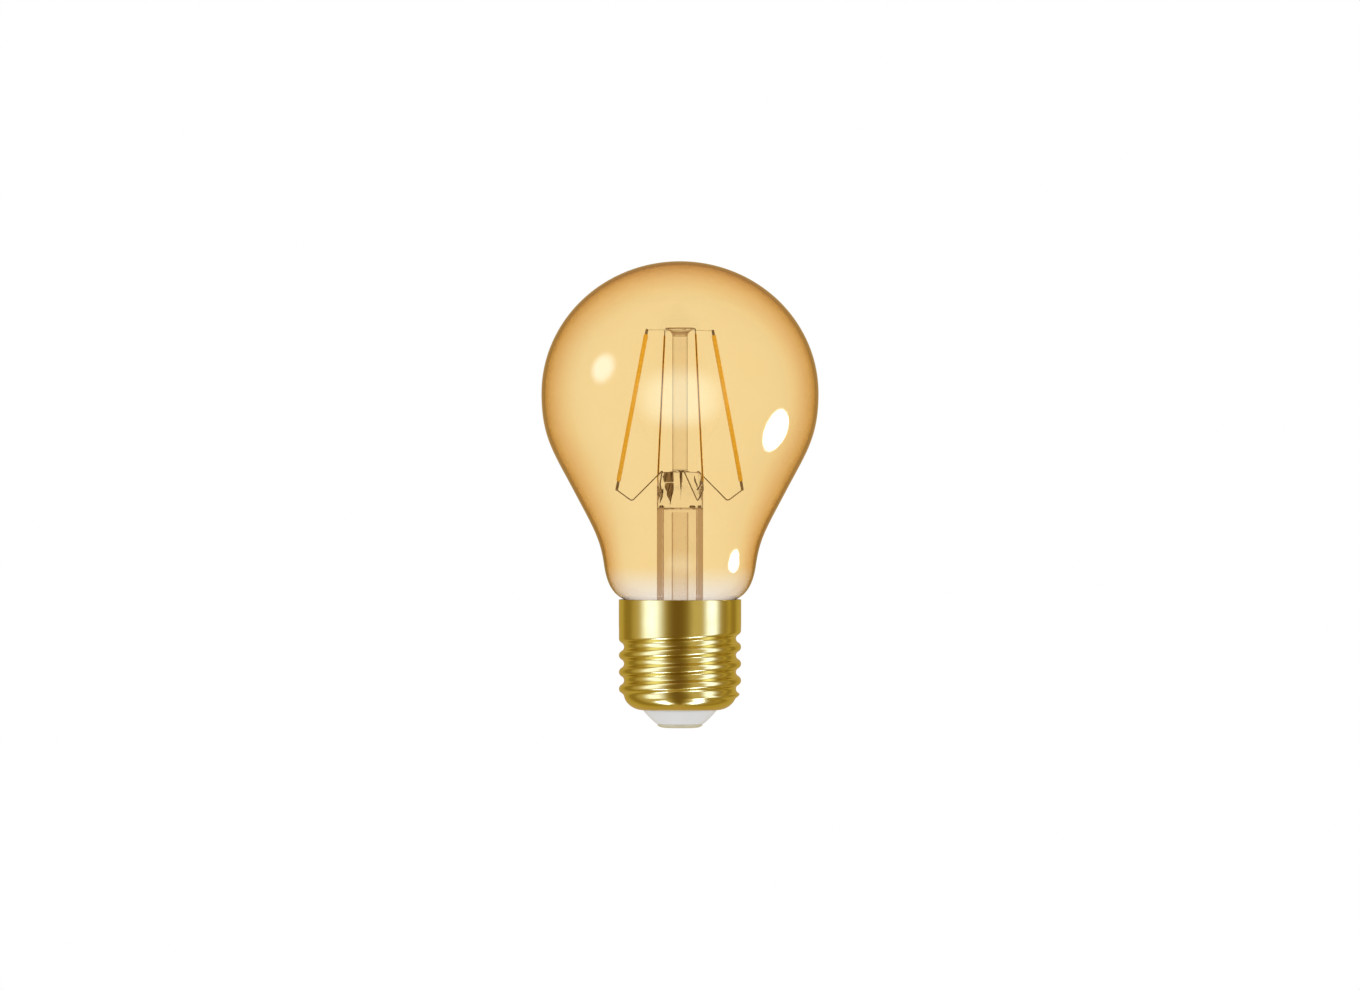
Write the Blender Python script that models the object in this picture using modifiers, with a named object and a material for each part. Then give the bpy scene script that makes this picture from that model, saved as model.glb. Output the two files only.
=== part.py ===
"""Smart LED filament bulb with an E27 screw cap, standing on its centre contact.

Metres, +Z up. The origin is the middle of the centre contact's flat face and Z is the bulb's axis.
Profiles are lists of (radius, height) that run down their outer side, as a Screw modifier needs.
"""

import math

import bmesh
import bpy
from mathutils import Matrix, Vector

# ---- Fineness -------------------------------------------------------------------------------
SIDES_BULB = 36
SIDES_SHELL = 32
SIDES_SMALL = 16
SIDES_ROD = 12
MERGE = 0.00001

# ---- Clearance left between pieces that touch on the real bulb ------------------------------
GAP = 0.0003

# ---- Glass envelope: outside surface and wall -----------------------------------------------
BULB_RADIUS = 0.0300
BULB_TOP = 0.1010
DOME_CENTRE = 0.0724
TAPER_RADIUS = 0.02315
TAPER_HEIGHT = 0.0516
TAPER_ANGLE = math.radians(27.8)
BELLY_HANDLES = (0.0094, 0.0090)
TAPER_HANDLES = (0.0018, 0.0063)
SHOULDER_RADIUS = 0.01645
SHOULDER_HEIGHT = 0.0343
SHOULDER_CURVE = 0.0070
SHOULDER_SWEEP = math.radians(70)
NECK_CURVE = 0.0012
NECK_RADIUS = 0.0110
NECK_BOTTOM = 0.0218
GLASS_WALL = 0.0007
DOME_STEPS = 9
BELLY_STEPS = 6
TAPER_STEPS = 4
SHOULDER_STEPS = 5
NECK_STEPS = 2

# ---- Stem: flared tube, press, exhaust tube and centre pillar -------------------------------
FLARE_RADIUS = 0.0050
FLARE_BORE = 0.0040
FLARE_RIM_RADIUS = 0.0100
FLARE_RIM_BORE = 0.0092
FLARE_START = 0.0290
FLARE_HANDLE = 0.0040
FLARE_LIP = 0.0006
FLARE_STEPS = 6
BORE_TOP = 0.0474
BORE_ROUNDING = 0.0018
PRESS_START = 0.0476
PRESS_FLAT = 0.0505
PRESS_TOP = 0.0555
PRESS_EDGE = 0.0012
PRESS_ROWS = 4
PRESS_THINNING = 0.46
EXHAUST_RADIUS = 0.0018
EXHAUST_BORE = 0.0012
EXHAUST_TIP = 0.0190
EXHAUST_TIP_WALL = 0.0012
PILLAR_RADIUS = 0.0016
PILLAR_BORE = 0.0011
PILLAR_TOP = 0.0851
BUTTON_RADIUS = 0.0030
BUTTON_THICKNESS = 0.0006
BUTTON_EDGE = 0.00045

# ---- Filaments: a line from a top point to a foot point, four times round the axis ----------
FILAMENT_COUNT = 4
FILAMENT_TOP = (0.00782, math.radians(25), 0.0863)
FILAMENT_FOOT = (0.01453, math.radians(20), 0.0514)
COAT_START = 0.0315
COAT_END = 0.943
COAT_WIDTH = 0.00095
COAT_THICKNESS = 0.00045
PIN_WIDTH = 0.0006
PIN_THICKNESS = 0.0002
STRIP_EDGE_SHARE = 0.3

# ---- Wires ----------------------------------------------------------------------------------
SUPPORT_WIRE_RADIUS = 0.00016
LEAD_WIRE_RADIUS = 0.0002
LEAD_WIRE_OFFSET = 0.0029
LEAD_HOLE_RADIUS = 0.0005
LEAD_HOLE_BOTTOM = 0.0430
SUPPORT_SIDE_OFFSET = 0.0021
SUPPORT_START = PRESS_TOP + 0.0005
SUPPORT_RISE = 0.0006
SUPPORT_SHOULDER = (0.0054, 0.0556)
SUPPORT_BEND = (0.0110, 0.0492)
SUPPORT_BEND_SIZE = 0.00028
TOP_ARCH_REACH = 0.0034
TOP_ARCH_BEND = 0.0008
HOOKUP_WIRE_RADIUS = 0.00035
ANTENNA_RADIUS = 0.00025
BEND_STEPS = 4

# ---- E27 cap --------------------------------------------------------------------------------
SKIRT_RADIUS = 0.01325
SKIRT_TOP = 0.0278
THREAD_CREST_RADIUS = 0.01322
THREAD_DEPTH = 0.00109
THREAD_PITCH = 0.003629
THREAD_ARC = 0.001025
THREAD_CREST_HEIGHT = 0.0157
THREAD_ROWS = 6
THREAD_BOTTOM = 0.0065
THREAD_TOP = 0.0215
GROOVE_RUN_OUT = (math.radians(380), math.radians(450))
LAST_CREST = -3
LAST_CREST_RISE = (math.radians(270), math.radians(430))
SHELL_WALL = 0.0003
SHELL_OPENING = 0.0080
SHELL_FLOOR = 0.00385
SHELL_BOTTOM_HANDLES = (0.0014, 0.0024)
SHELL_BOTTOM_STEPS = 5
CONTACT_RADIUS = 0.0049
CONTACT_TOP = 0.00075
CONTACT_STEM_RADIUS = 0.00085
CONTACT_STEM_TOP = 0.0063
CONTACT_FLAT_RADIUS = 0.0028
INSULATOR_TOP = 0.0055
INSULATOR_FLANGE = 0.0092
SLEEVE_RADIUS = 0.0114
SLEEVE_BOTTOM = 0.0066
SLEEVE_TOP = 0.0189
SLEEVE_WALL = 0.0004
SLEEVE_BORE = SLEEVE_RADIUS - SLEEVE_WALL
SLEEVE_WIRE_HOLE = 0.0016
CEMENT_BOTTOM = 0.0214
CEMENT_TOP = 0.0264
CEMENT_SLOPE = 0.0006

# ---- Driver and radio boards: thin along Y, upright inside the cap --------------------------
BOARD_TOP = 0.0182
DRIVER_BOARD_SIZE = (0.0164, 0.0010, 0.0100)
WIRELESS_BOARD_SIZE = (0.0130, 0.0008, 0.0098)
WIRELESS_BOARD_Y = 0.0037
CAPACITOR_PLACE = (-0.0050, -0.0043)
CAPACITOR_CAN = (0.0031, 0.0084, 0.0180)
CAPACITOR_SEAL = (0.0026, 0.0076, 0.0081)
INDUCTOR_PLACE = (0.0046, -0.0044)
INDUCTOR_FLANGE = 0.0032
INDUCTOR_WAIST = 0.0016
INDUCTOR_HEIGHTS = (0.0086, 0.0094, 0.0142, 0.0150)
WINDING_RADIUS = 0.0029
RESISTOR_X = 0.0002
RESISTOR = (0.0009, 0.0092, 0.0132)
FILM_CAPACITOR_SIZE = (0.0050, 0.0026, 0.0024)
FILM_CAPACITOR_PLACE = (0.0046, 0.0168)
CHIPS = (
    ("bridge_rectifier", (0.0047, 0.0014, 0.0038), (-0.0050, 0.0115)),
    ("driver_chip", (0.0049, 0.0014, 0.0039), (0.0050, 0.0110)),
    ("dimming_transistor", (0.0030, 0.0012, 0.0026), (0.0050, 0.0159)),
)
CONNECTOR_SIZE = (0.0050, 0.0016)
CONNECTOR_HEIGHT = 0.0096
RADIO_HEIGHT = 0.0120
RADIO_CHIP_SIZE = (0.0040, 0.0009, 0.0040)
CAN_SIZE = (0.0090, 0.0020, 0.0060)
CAN_WALL = 0.0002
CHIP_EDGE = 0.0002
ANTENNA_BENDS = ((0.0037, 0.0205), (0.0030, 0.0235), (0.0029, 0.0270))
NEUTRAL_START = 0.0150
NEUTRAL_TURN = 0.0200
HOOKUP_BEND = 0.0006

# ---- Finishes: base colour, roughness, metallic, transmission -------------------------------
FINISHES = {
    "amber_glass": ((0.93, 0.68, 0.33), 0.02, 0.0, 1.0),
    "clear_glass": ((0.95, 0.94, 0.92), 0.02, 0.0, 1.0),
    "phosphor": ((0.95, 0.58, 0.08), 0.55, 0.0, 0.0),
    "nickel": ((0.62, 0.58, 0.52), 0.30, 1.0, 0.0),
    "copper": ((0.80, 0.45, 0.28), 0.30, 1.0, 0.0),
    "brass": ((0.78, 0.62, 0.24), 0.18, 1.0, 0.0),
    "white_ceramic": ((0.86, 0.88, 0.90), 0.30, 0.0, 0.0),
    "cement": ((0.72, 0.68, 0.60), 0.85, 0.0, 0.0),
    "white_plastic": ((0.85, 0.85, 0.83), 0.45, 0.0, 0.0),
    "board_green": ((0.05, 0.26, 0.12), 0.45, 0.0, 0.0),
    "black_plastic": ((0.02, 0.02, 0.02), 0.40, 0.0, 0.0),
    "black_rubber": ((0.03, 0.03, 0.03), 0.70, 0.0, 0.0),
    "can_aluminium": ((0.75, 0.76, 0.78), 0.30, 1.0, 0.0),
    "ferrite": ((0.10, 0.10, 0.11), 0.60, 0.0, 0.0),
    "film_yellow": ((0.85, 0.60, 0.12), 0.40, 0.0, 0.0),
    "resistor_blue": ((0.20, 0.38, 0.52), 0.45, 0.0, 0.0),
    "wire_red": ((0.60, 0.05, 0.04), 0.45, 0.0, 0.0),
    "wire_blue": ((0.06, 0.12, 0.50), 0.45, 0.0, 0.0),
}


# ---- Making objects -------------------------------------------------------------------------


def clear_scene():
    for old in list(bpy.data.objects):
        bpy.data.objects.remove(old)


def new_collection(name):
    group = bpy.data.collections.new(name)
    bpy.context.scene.collection.children.link(group)
    return group


def make_material(name, finish):
    colour, roughness, metallic, transmission = FINISHES[finish]
    material = bpy.data.materials.new(name)
    material.use_nodes = True
    shader = material.node_tree.nodes["Principled BSDF"]
    shader.inputs["Base Color"].default_value = (*colour, 1.0)
    shader.inputs["Roughness"].default_value = roughness
    shader.inputs["Metallic"].default_value = metallic
    shader.inputs["Transmission Weight"].default_value = transmission
    material.diffuse_color = (*colour, 1.0)
    return material


def add_part(name, data, finish):
    part = bpy.data.objects.new(name, data)
    PARTS.objects.link(part)
    data.materials.append(make_material(name + "_finish", finish))
    return part


def add_cutter(name, data):
    cutter = bpy.data.objects.new(name, data)
    CUTTERS.objects.link(cutter)
    cutter.hide_render = True
    cutter.display_type = "WIRE"
    return cutter


def apply_modifiers(part):
    """Make the evaluated mesh the object's own, so that its points can be moved."""
    graph = bpy.context.evaluated_depsgraph_get()
    mesh = bpy.data.meshes.new_from_object(part.evaluated_get(graph))
    part.modifiers.clear()
    part.data = mesh


def turned(name, profile, finish, sides, closed=False):
    """Sweep a profile once round Z. A closed profile is a ring; an open one ends on the axis."""
    points = [(radius, 0.0, height) for radius, height in profile]
    edges = [(i, i + 1) for i in range(len(points) - 1)]
    if closed:
        edges.append((len(points) - 1, 0))
    mesh = bpy.data.meshes.new(name)
    mesh.from_pydata(points, edges, [])
    part = add_part(name, mesh, finish)
    screw = part.modifiers.new("Turn", "SCREW")
    screw.axis = "Z"
    screw.angle = math.tau
    screw.steps = sides
    screw.render_steps = sides
    screw.use_merge_vertices = True
    screw.merge_threshold = MERGE
    screw.use_smooth_shade = True
    return part


def solidify(part, wall):
    """Thicken an open surface towards its inside."""
    shell = part.modifiers.new("Wall", "SOLIDIFY")
    shell.thickness = wall
    shell.offset = -1.0
    shell.use_even_offset = True


def block(name, size, centre, finish, edge=0.0, frame=None):
    """A box with bevelled edges; frame is an optional rotation matrix."""
    mesh = bpy.data.meshes.new(name)
    shape = bmesh.new()
    bmesh.ops.create_cube(shape, size=1.0)
    bmesh.ops.scale(shape, vec=size, verts=shape.verts)
    shape.to_mesh(mesh)
    shape.free()
    part = add_part(name, mesh, finish)
    turn = frame if frame else Matrix.Identity(3)
    part.matrix_world = Matrix.Translation(centre) @ turn.to_4x4()
    if edge:
        bevel = part.modifiers.new("Edges", "BEVEL")
        bevel.width = edge
        bevel.segments = 1
    return part


def rod_mesh(name, radius, bottom, top, sides):
    """An upright cylinder whose base is at height bottom."""
    mesh = bpy.data.meshes.new(name)
    shape = bmesh.new()
    bmesh.ops.create_cone(
        shape, cap_ends=True, segments=sides, radius1=radius, radius2=radius, depth=top - bottom
    )
    bmesh.ops.translate(shape, vec=(0.0, 0.0, (top + bottom) / 2), verts=shape.verts)
    shape.to_mesh(mesh)
    shape.free()
    mesh.shade_smooth()
    mesh.set_sharp_from_angle(angle=math.radians(40))
    return mesh


def wire(name, points, radius, finish):
    """A round wire along straight runs between points, with closed ends."""
    curve = bpy.data.curves.new(name, "CURVE")
    curve.dimensions = "3D"
    curve.bevel_depth = radius
    curve.bevel_resolution = 2
    curve.render_resolution_u = 0
    curve.use_fill_caps = True
    spline = curve.splines.new("POLY")
    spline.points.add(len(points) - 1)
    for slot, point in zip(spline.points, points):
        slot.co = (*point, 1.0)
    return add_part(name, curve, finish)


# ---- Geometry helpers -----------------------------------------------------------------------


def polar(radius, turn, height):
    return Vector((radius * math.cos(turn), radius * math.sin(turn), height))


def arc(centre, radius, start, end, steps):
    """Points of a circular arc in the profile plane, angles from the +radius direction."""
    angles = [start + (end - start) * i / steps for i in range(steps + 1)]
    return [(centre[0] + radius * math.cos(a), centre[1] + radius * math.sin(a)) for a in angles]


def bezier(start, start_handle, end_handle, end, steps):
    points = []
    for i in range(steps + 1):
        t = i / steps
        u = 1 - t
        weights = (u**3, 3 * u * u * t, 3 * u * t * t, t**3)
        corners = (start, start_handle, end_handle, end)
        points.append(tuple(sum(w * c[k] for w, c in zip(weights, corners)) for k in (0, 1)))
    return points


def rounded_route(corners, bend):
    """The corners of a wire's route, each inner corner replaced by a short curve."""
    route = [corners[0]]
    for before, corner, after in zip(corners, corners[1:], corners[2:]):
        back = (before - corner).normalized() * bend
        ahead = (after - corner).normalized() * bend
        for i in range(BEND_STEPS + 1):
            t = i / BEND_STEPS
            route.append(corner + back * (1 - t) ** 2 + ahead * t**2)
    route.append(corners[-1])
    return route


def smooth_step(value, low, high):
    t = min(max((value - low) / (high - low), 0.0), 1.0)
    return t * t * (3 - 2 * t)


# ---- Glass ----------------------------------------------------------------------------------


def envelope_outline():
    """Outside of the glass from the pole down to the neck's edge inside the skirt."""
    dome_height = BULB_TOP - DOME_CENTRE
    dome = [
        (BULB_RADIUS * math.cos(a), DOME_CENTRE + dome_height * math.sin(a))
        for a in (math.pi / 2 * (1 - i / DOME_STEPS) for i in range(1, DOME_STEPS))
    ]
    belly_end = Vector((TAPER_RADIUS, TAPER_HEIGHT))
    slope = Vector((-math.sin(TAPER_ANGLE), -math.cos(TAPER_ANGLE)))
    shoulder = Vector((SHOULDER_RADIUS, SHOULDER_HEIGHT))
    belly_start = Vector((BULB_RADIUS, DOME_CENTRE))
    down = Vector((0.0, -1.0))
    belly = bezier(
        belly_start,
        belly_start + down * BELLY_HANDLES[0],
        belly_end - slope * BELLY_HANDLES[1],
        belly_end,
        BELLY_STEPS,
    )
    taper = bezier(
        belly_end,
        belly_end + slope * TAPER_HANDLES[0],
        shoulder - down * TAPER_HANDLES[1],
        shoulder,
        TAPER_STEPS,
    )
    curve_centre = (SHOULDER_RADIUS - SHOULDER_CURVE, SHOULDER_HEIGHT)
    curl = arc(curve_centre, SHOULDER_CURVE, 0.0, -SHOULDER_SWEEP, SHOULDER_STEPS)
    neck_centre_height = curl[-1][1] - NECK_CURVE * math.sin(SHOULDER_SWEEP)
    neck_centre = (NECK_RADIUS + NECK_CURVE, neck_centre_height)
    neck = arc(neck_centre, NECK_CURVE, math.pi - SHOULDER_SWEEP, math.pi, NECK_STEPS)
    pole = [(0.0, BULB_TOP)]
    return pole + dome + belly + taper[1:] + curl[1:] + neck + [(NECK_RADIUS, NECK_BOTTOM)]


def make_envelope():
    envelope = turned("glass_envelope", envelope_outline(), "amber_glass", SIDES_BULB)
    solidify(envelope, GLASS_WALL)


def press_stem(mesh):
    """Flatten the top of the flare tube into the press: the hot glass is squeezed along Y."""
    for point in mesh.vertices:
        squeeze = smooth_step(point.co.z, PRESS_START, PRESS_FLAT)
        point.co.y *= 1 - (1 - PRESS_THINNING) * squeeze


def flare_curve(tube, rim):
    """The trumpet at the tube's bottom, from the tube's radius out to the rim's."""
    return bezier(
        (tube, FLARE_START),
        (tube, FLARE_START - FLARE_HANDLE),
        (rim, NECK_BOTTOM + FLARE_HANDLE),
        (rim, NECK_BOTTOM + FLARE_LIP),
        FLARE_STEPS,
    )


def make_stem():
    edge_centre = (FLARE_RADIUS - PRESS_EDGE, PRESS_TOP - PRESS_EDGE)
    press_rows = [
        (FLARE_RADIUS, PRESS_FLAT + (PRESS_START - PRESS_FLAT) * i / PRESS_ROWS)
        for i in range(PRESS_ROWS + 1)
    ]
    outside = [(0.0, PRESS_TOP)]
    outside += arc(edge_centre, PRESS_EDGE, math.pi / 2, 0.0, 3)
    outside += press_rows
    outside += flare_curve(FLARE_RADIUS, FLARE_RIM_RADIUS)
    outside.append((FLARE_RIM_RADIUS, NECK_BOTTOM))
    inside = [(FLARE_RIM_BORE, NECK_BOTTOM)]
    inside += flare_curve(FLARE_BORE, FLARE_RIM_BORE)[::-1]
    bore_centre = (FLARE_BORE - BORE_ROUNDING, BORE_TOP - BORE_ROUNDING)
    inside += arc(bore_centre, BORE_ROUNDING, 0.0, math.pi / 2, 3)
    inside.append((0.0, BORE_TOP))
    stem = turned("stem_glass", outside + inside, "clear_glass", SIDES_SHELL)
    apply_modifiers(stem)
    press_stem(stem.data)
    for side, place in (("left", -LEAD_WIRE_OFFSET), ("right", LEAD_WIRE_OFFSET)):
        name = "lead_hole_" + side
        hole = rod_mesh(name, LEAD_HOLE_RADIUS, LEAD_HOLE_BOTTOM, PRESS_TOP + PRESS_EDGE, SIDES_ROD)
        cutter = add_cutter(name, hole)
        cutter.location = (place, 0.0, 0.0)
        cut = stem.modifiers.new("Hole " + side, "BOOLEAN")
        cut.operation = "DIFFERENCE"
        cut.object = cutter


def make_exhaust_tube():
    top = BORE_TOP - 2 * GAP
    tip_height = EXHAUST_TIP + 2 * EXHAUST_TIP_WALL
    profile = [
        (0.0, EXHAUST_TIP + EXHAUST_TIP_WALL),
        (EXHAUST_BORE, tip_height),
        (EXHAUST_BORE, top),
        (EXHAUST_RADIUS, top),
        (EXHAUST_RADIUS, tip_height),
        (EXHAUST_BORE, EXHAUST_TIP + EXHAUST_TIP_WALL / 2),
        (0.0, EXHAUST_TIP),
    ]
    turned("exhaust_tube", profile, "clear_glass", SIDES_SMALL)


def make_pillar():
    bottom = PRESS_TOP + GAP
    tube = [
        (PILLAR_RADIUS, PILLAR_TOP),
        (PILLAR_RADIUS, bottom),
        (PILLAR_BORE, bottom),
        (PILLAR_BORE, PILLAR_TOP),
    ]
    turned("centre_pillar", tube, "clear_glass", SIDES_SMALL, closed=True)
    low = PILLAR_TOP + GAP
    high = low + BUTTON_THICKNESS
    button = [
        (0.0, high),
        (BUTTON_RADIUS - BUTTON_EDGE, high),
        (BUTTON_RADIUS, (low + high) / 2),
        (BUTTON_RADIUS - BUTTON_EDGE, low),
        (0.0, low),
    ]
    turned("pillar_button", button, "clear_glass", SIDES_SMALL)


# ---- Filaments and their wires --------------------------------------------------------------


def filament_ends(index):
    turn = math.tau * index / FILAMENT_COUNT
    top = polar(FILAMENT_TOP[0], FILAMENT_TOP[1] + turn, FILAMENT_TOP[2])
    foot = polar(FILAMENT_FOOT[0], FILAMENT_FOOT[1] + turn, FILAMENT_FOOT[2])
    return top, foot


def strip(name, start, end, width, thickness, finish):
    """A flat strip whose width lies in the upright plane through the bulb's axis."""
    along = (start - end).normalized()
    outward = Vector((start.x + end.x, start.y + end.y, 0.0)).normalized()
    across = (outward - along * outward.dot(along)).normalized()
    face = along.cross(across)
    frame = Matrix((across, face, along)).transposed()
    size = (width, thickness, (start - end).length)
    block(name, size, (start + end) / 2, finish, thickness * STRIP_EDGE_SHARE, frame)


def make_filaments():
    for index in range(FILAMENT_COUNT):
        label = str(index + 1)
        top, foot = filament_ends(index)
        spare = (top - foot).normalized() * GAP
        coat_top = top.lerp(foot, COAT_START)
        coat_foot = top.lerp(foot, COAT_END)
        strip("filament_" + label, coat_top, coat_foot, COAT_WIDTH, COAT_THICKNESS, "phosphor")
        strip("top_pin_" + label, top, coat_top + spare, PIN_WIDTH, PIN_THICKNESS, "nickel")
        strip("foot_pin_" + label, coat_foot - spare, foot, PIN_WIDTH, PIN_THICKNESS, "nickel")


def make_support_wires():
    """From the press out and down to a V bend, then up to the foot of each filament."""
    starts = (
        (LEAD_WIRE_OFFSET, 0.0),
        (0.0, SUPPORT_SIDE_OFFSET),
        (-LEAD_WIRE_OFFSET, 0.0),
        (0.0, -SUPPORT_SIDE_OFFSET),
    )
    for index, (x, y) in enumerate(starts):
        turn = FILAMENT_FOOT[1] + math.tau * index / FILAMENT_COUNT
        _, foot = filament_ends(index)
        corners = [
            Vector((x, y, SUPPORT_START)),
            Vector((x, y, SUPPORT_START + SUPPORT_RISE)),
            polar(SUPPORT_SHOULDER[0], turn, SUPPORT_SHOULDER[1]),
            polar(SUPPORT_BEND[0], turn, SUPPORT_BEND[1]),
            foot - Vector((0.0, 0.0, GAP + SUPPORT_WIRE_RADIUS)),
        ]
        route = rounded_route(corners, SUPPORT_BEND_SIZE)
        wire("support_wire_" + str(index + 1), route, SUPPORT_WIRE_RADIUS, "nickel")


def make_top_wires():
    """Each bridges two opposite filaments; the first arches over the second on the axis."""
    low = PILLAR_TOP + 2 * GAP + BUTTON_THICKNESS + SUPPORT_WIRE_RADIUS
    high = low + 2 * SUPPORT_WIRE_RADIUS + GAP
    reach = FILAMENT_TOP[0] - PIN_WIDTH / 2 - GAP
    end_height = FILAMENT_TOP[2]
    for index, crossing in enumerate((high, low)):
        turn = FILAMENT_TOP[1] + math.tau * index / FILAMENT_COUNT
        corners = [
            polar(reach, turn, end_height),
            polar(TOP_ARCH_REACH, turn, crossing),
            polar(-TOP_ARCH_REACH, turn, crossing),
            polar(-reach, turn, end_height),
        ]
        route = rounded_route(corners, TOP_ARCH_BEND)
        wire("top_wire_" + str(index + 1), route, SUPPORT_WIRE_RADIUS, "nickel")


def make_lead_wires():
    for index, x in enumerate((LEAD_WIRE_OFFSET, -LEAD_WIRE_OFFSET)):
        ends = [Vector((x, 0.0, BOARD_TOP + GAP)), Vector((x, 0.0, PRESS_TOP))]
        wire("lead_wire_" + str(index + 1), ends, LEAD_WIRE_RADIUS, "copper")


# ---- Cap ------------------------------------------------------------------------------------


def thread_fill(point):
    """1 on a crest and 0 in a groove: circular arcs of one radius, run out at both ends.

    The turn about the axis is counted from the back of the cap, where both ends of the thread
    are, and the height is in pitches above the crest that starts there.
    """
    turn = (math.atan2(point.y, point.x) - math.pi / 2) % math.tau + math.pi / 2
    height = (point.z - THREAD_CREST_HEIGHT) / THREAD_PITCH - (turn - math.pi) / math.tau
    off_crest = abs(height - round(height))
    x = min(off_crest, 0.5 - off_crest) * THREAD_PITCH
    drop = THREAD_ARC - math.sqrt(THREAD_ARC**2 - x**2)
    drop = min(drop / THREAD_DEPTH, 0.5)
    fill = 1 - drop if off_crest < 0.25 else drop
    groove = math.floor(height)
    if groove > 0:
        return 1.0
    if groove == 0:
        run_out = smooth_step(turn, *GROOVE_RUN_OUT)
        fill = 1 - (1 - fill) * (1 - run_out)
    crest = round(height)
    if crest == LAST_CREST:
        fill *= smooth_step(turn, *LAST_CREST_RISE)
    if crest < LAST_CREST:
        fill = 0.0
    return fill


def cut_thread(mesh):
    root = THREAD_CREST_RADIUS - THREAD_DEPTH
    for vertex in mesh.vertices:
        point = vertex.co
        if THREAD_BOTTOM - MERGE <= point.z <= THREAD_TOP + MERGE:
            radius = root + THREAD_DEPTH * thread_fill(point)
            scale = radius / math.hypot(point.x, point.y)
            point.x *= scale
            point.y *= scale


def make_screw_shell():
    rows = round((THREAD_TOP - THREAD_BOTTOM) / THREAD_PITCH * THREAD_ROWS)
    row = (THREAD_TOP - THREAD_BOTTOM) / rows
    skirt = [(SKIRT_RADIUS, SKIRT_TOP), (SKIRT_RADIUS, (SKIRT_TOP + THREAD_TOP) / 2)]
    thread = [(SKIRT_RADIUS, THREAD_TOP - row * i) for i in range(rows + 1)]
    root = THREAD_CREST_RADIUS - THREAD_DEPTH
    bottom = bezier(
        (root, THREAD_BOTTOM),
        (root, THREAD_BOTTOM - SHELL_BOTTOM_HANDLES[0]),
        (SHELL_OPENING + SHELL_BOTTOM_HANDLES[1], SHELL_FLOOR),
        (SHELL_OPENING, SHELL_FLOOR),
        SHELL_BOTTOM_STEPS,
    )
    shell = turned("screw_shell", skirt + thread + bottom[1:], "brass", SIDES_SHELL)
    apply_modifiers(shell)
    cut_thread(shell.data)
    solidify(shell, SHELL_WALL)


def make_cap_base():
    seat = CONTACT_TOP + GAP
    flange = SHELL_FLOOR + SHELL_WALL + 2 * GAP
    throat = SHELL_OPENING - GAP
    bore = CONTACT_STEM_RADIUS + GAP
    insulator = [
        (INSULATOR_FLANGE, INSULATOR_TOP),
        (INSULATOR_FLANGE, flange),
        (throat, flange),
        (throat, SHELL_FLOOR),
        (CONTACT_RADIUS, seat),
        (bore, seat),
        (bore, INSULATOR_TOP),
    ]
    turned("shell_insulator", insulator, "white_ceramic", SIDES_SHELL, closed=True)
    contact = [(0.0, CONTACT_STEM_TOP), (CONTACT_STEM_RADIUS, CONTACT_STEM_TOP)]
    contact.append((CONTACT_STEM_RADIUS, CONTACT_TOP))
    contact += bezier(
        (CONTACT_RADIUS, CONTACT_TOP),
        (CONTACT_RADIUS, CONTACT_TOP / 2),
        (CONTACT_FLAT_RADIUS + CONTACT_TOP, CONTACT_TOP / 4),
        (CONTACT_FLAT_RADIUS, 0.0),
        3,
    )
    contact.append((0.0, 0.0))
    turned("centre_contact", contact, "brass", SIDES_SHELL)
    cement_radius = SKIRT_RADIUS - SHELL_WALL - GAP
    cement_bore = NECK_RADIUS + GAP
    cement = [
        (cement_radius, CEMENT_TOP),
        (cement_radius, CEMENT_BOTTOM),
        (cement_bore, CEMENT_BOTTOM),
        (cement_bore, CEMENT_TOP - CEMENT_SLOPE),
    ]
    turned("capping_cement", cement, "cement", SIDES_SHELL, closed=True)
    floor = SLEEVE_BOTTOM + SLEEVE_WALL
    sleeve = [
        (SLEEVE_RADIUS, SLEEVE_TOP),
        (SLEEVE_RADIUS, SLEEVE_BOTTOM),
        (SLEEVE_WIRE_HOLE, SLEEVE_BOTTOM),
        (SLEEVE_WIRE_HOLE, floor),
        (SLEEVE_BORE, floor),
        (SLEEVE_BORE, SLEEVE_TOP),
    ]
    turned("insulating_sleeve", sleeve, "white_plastic", SIDES_SHELL, closed=True)


# ---- Driver and radio -----------------------------------------------------------------------


def upright(name, size, place, finish):
    """A cylinder; size is its radius, bottom and top."""
    part = add_part(name, rod_mesh(name, *size, SIDES_SMALL), finish)
    part.location = (*place, 0.0)
    return part


def make_capacitors(front):
    can = upright("electrolytic_capacitor", CAPACITOR_CAN, CAPACITOR_PLACE, "can_aluminium")
    rim = can.modifiers.new("Rim", "BEVEL")
    rim.width = GAP
    rim.segments = 2
    rim.limit_method = "ANGLE"
    rim.angle_limit = math.radians(60)
    upright("capacitor_seal", CAPACITOR_SEAL, CAPACITOR_PLACE, "black_rubber")
    x, z = FILM_CAPACITOR_PLACE
    place = (x, front - FILM_CAPACITOR_SIZE[1] / 2, z)
    block("film_capacitor", FILM_CAPACITOR_SIZE, place, "film_yellow", CHIP_EDGE)


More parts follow.
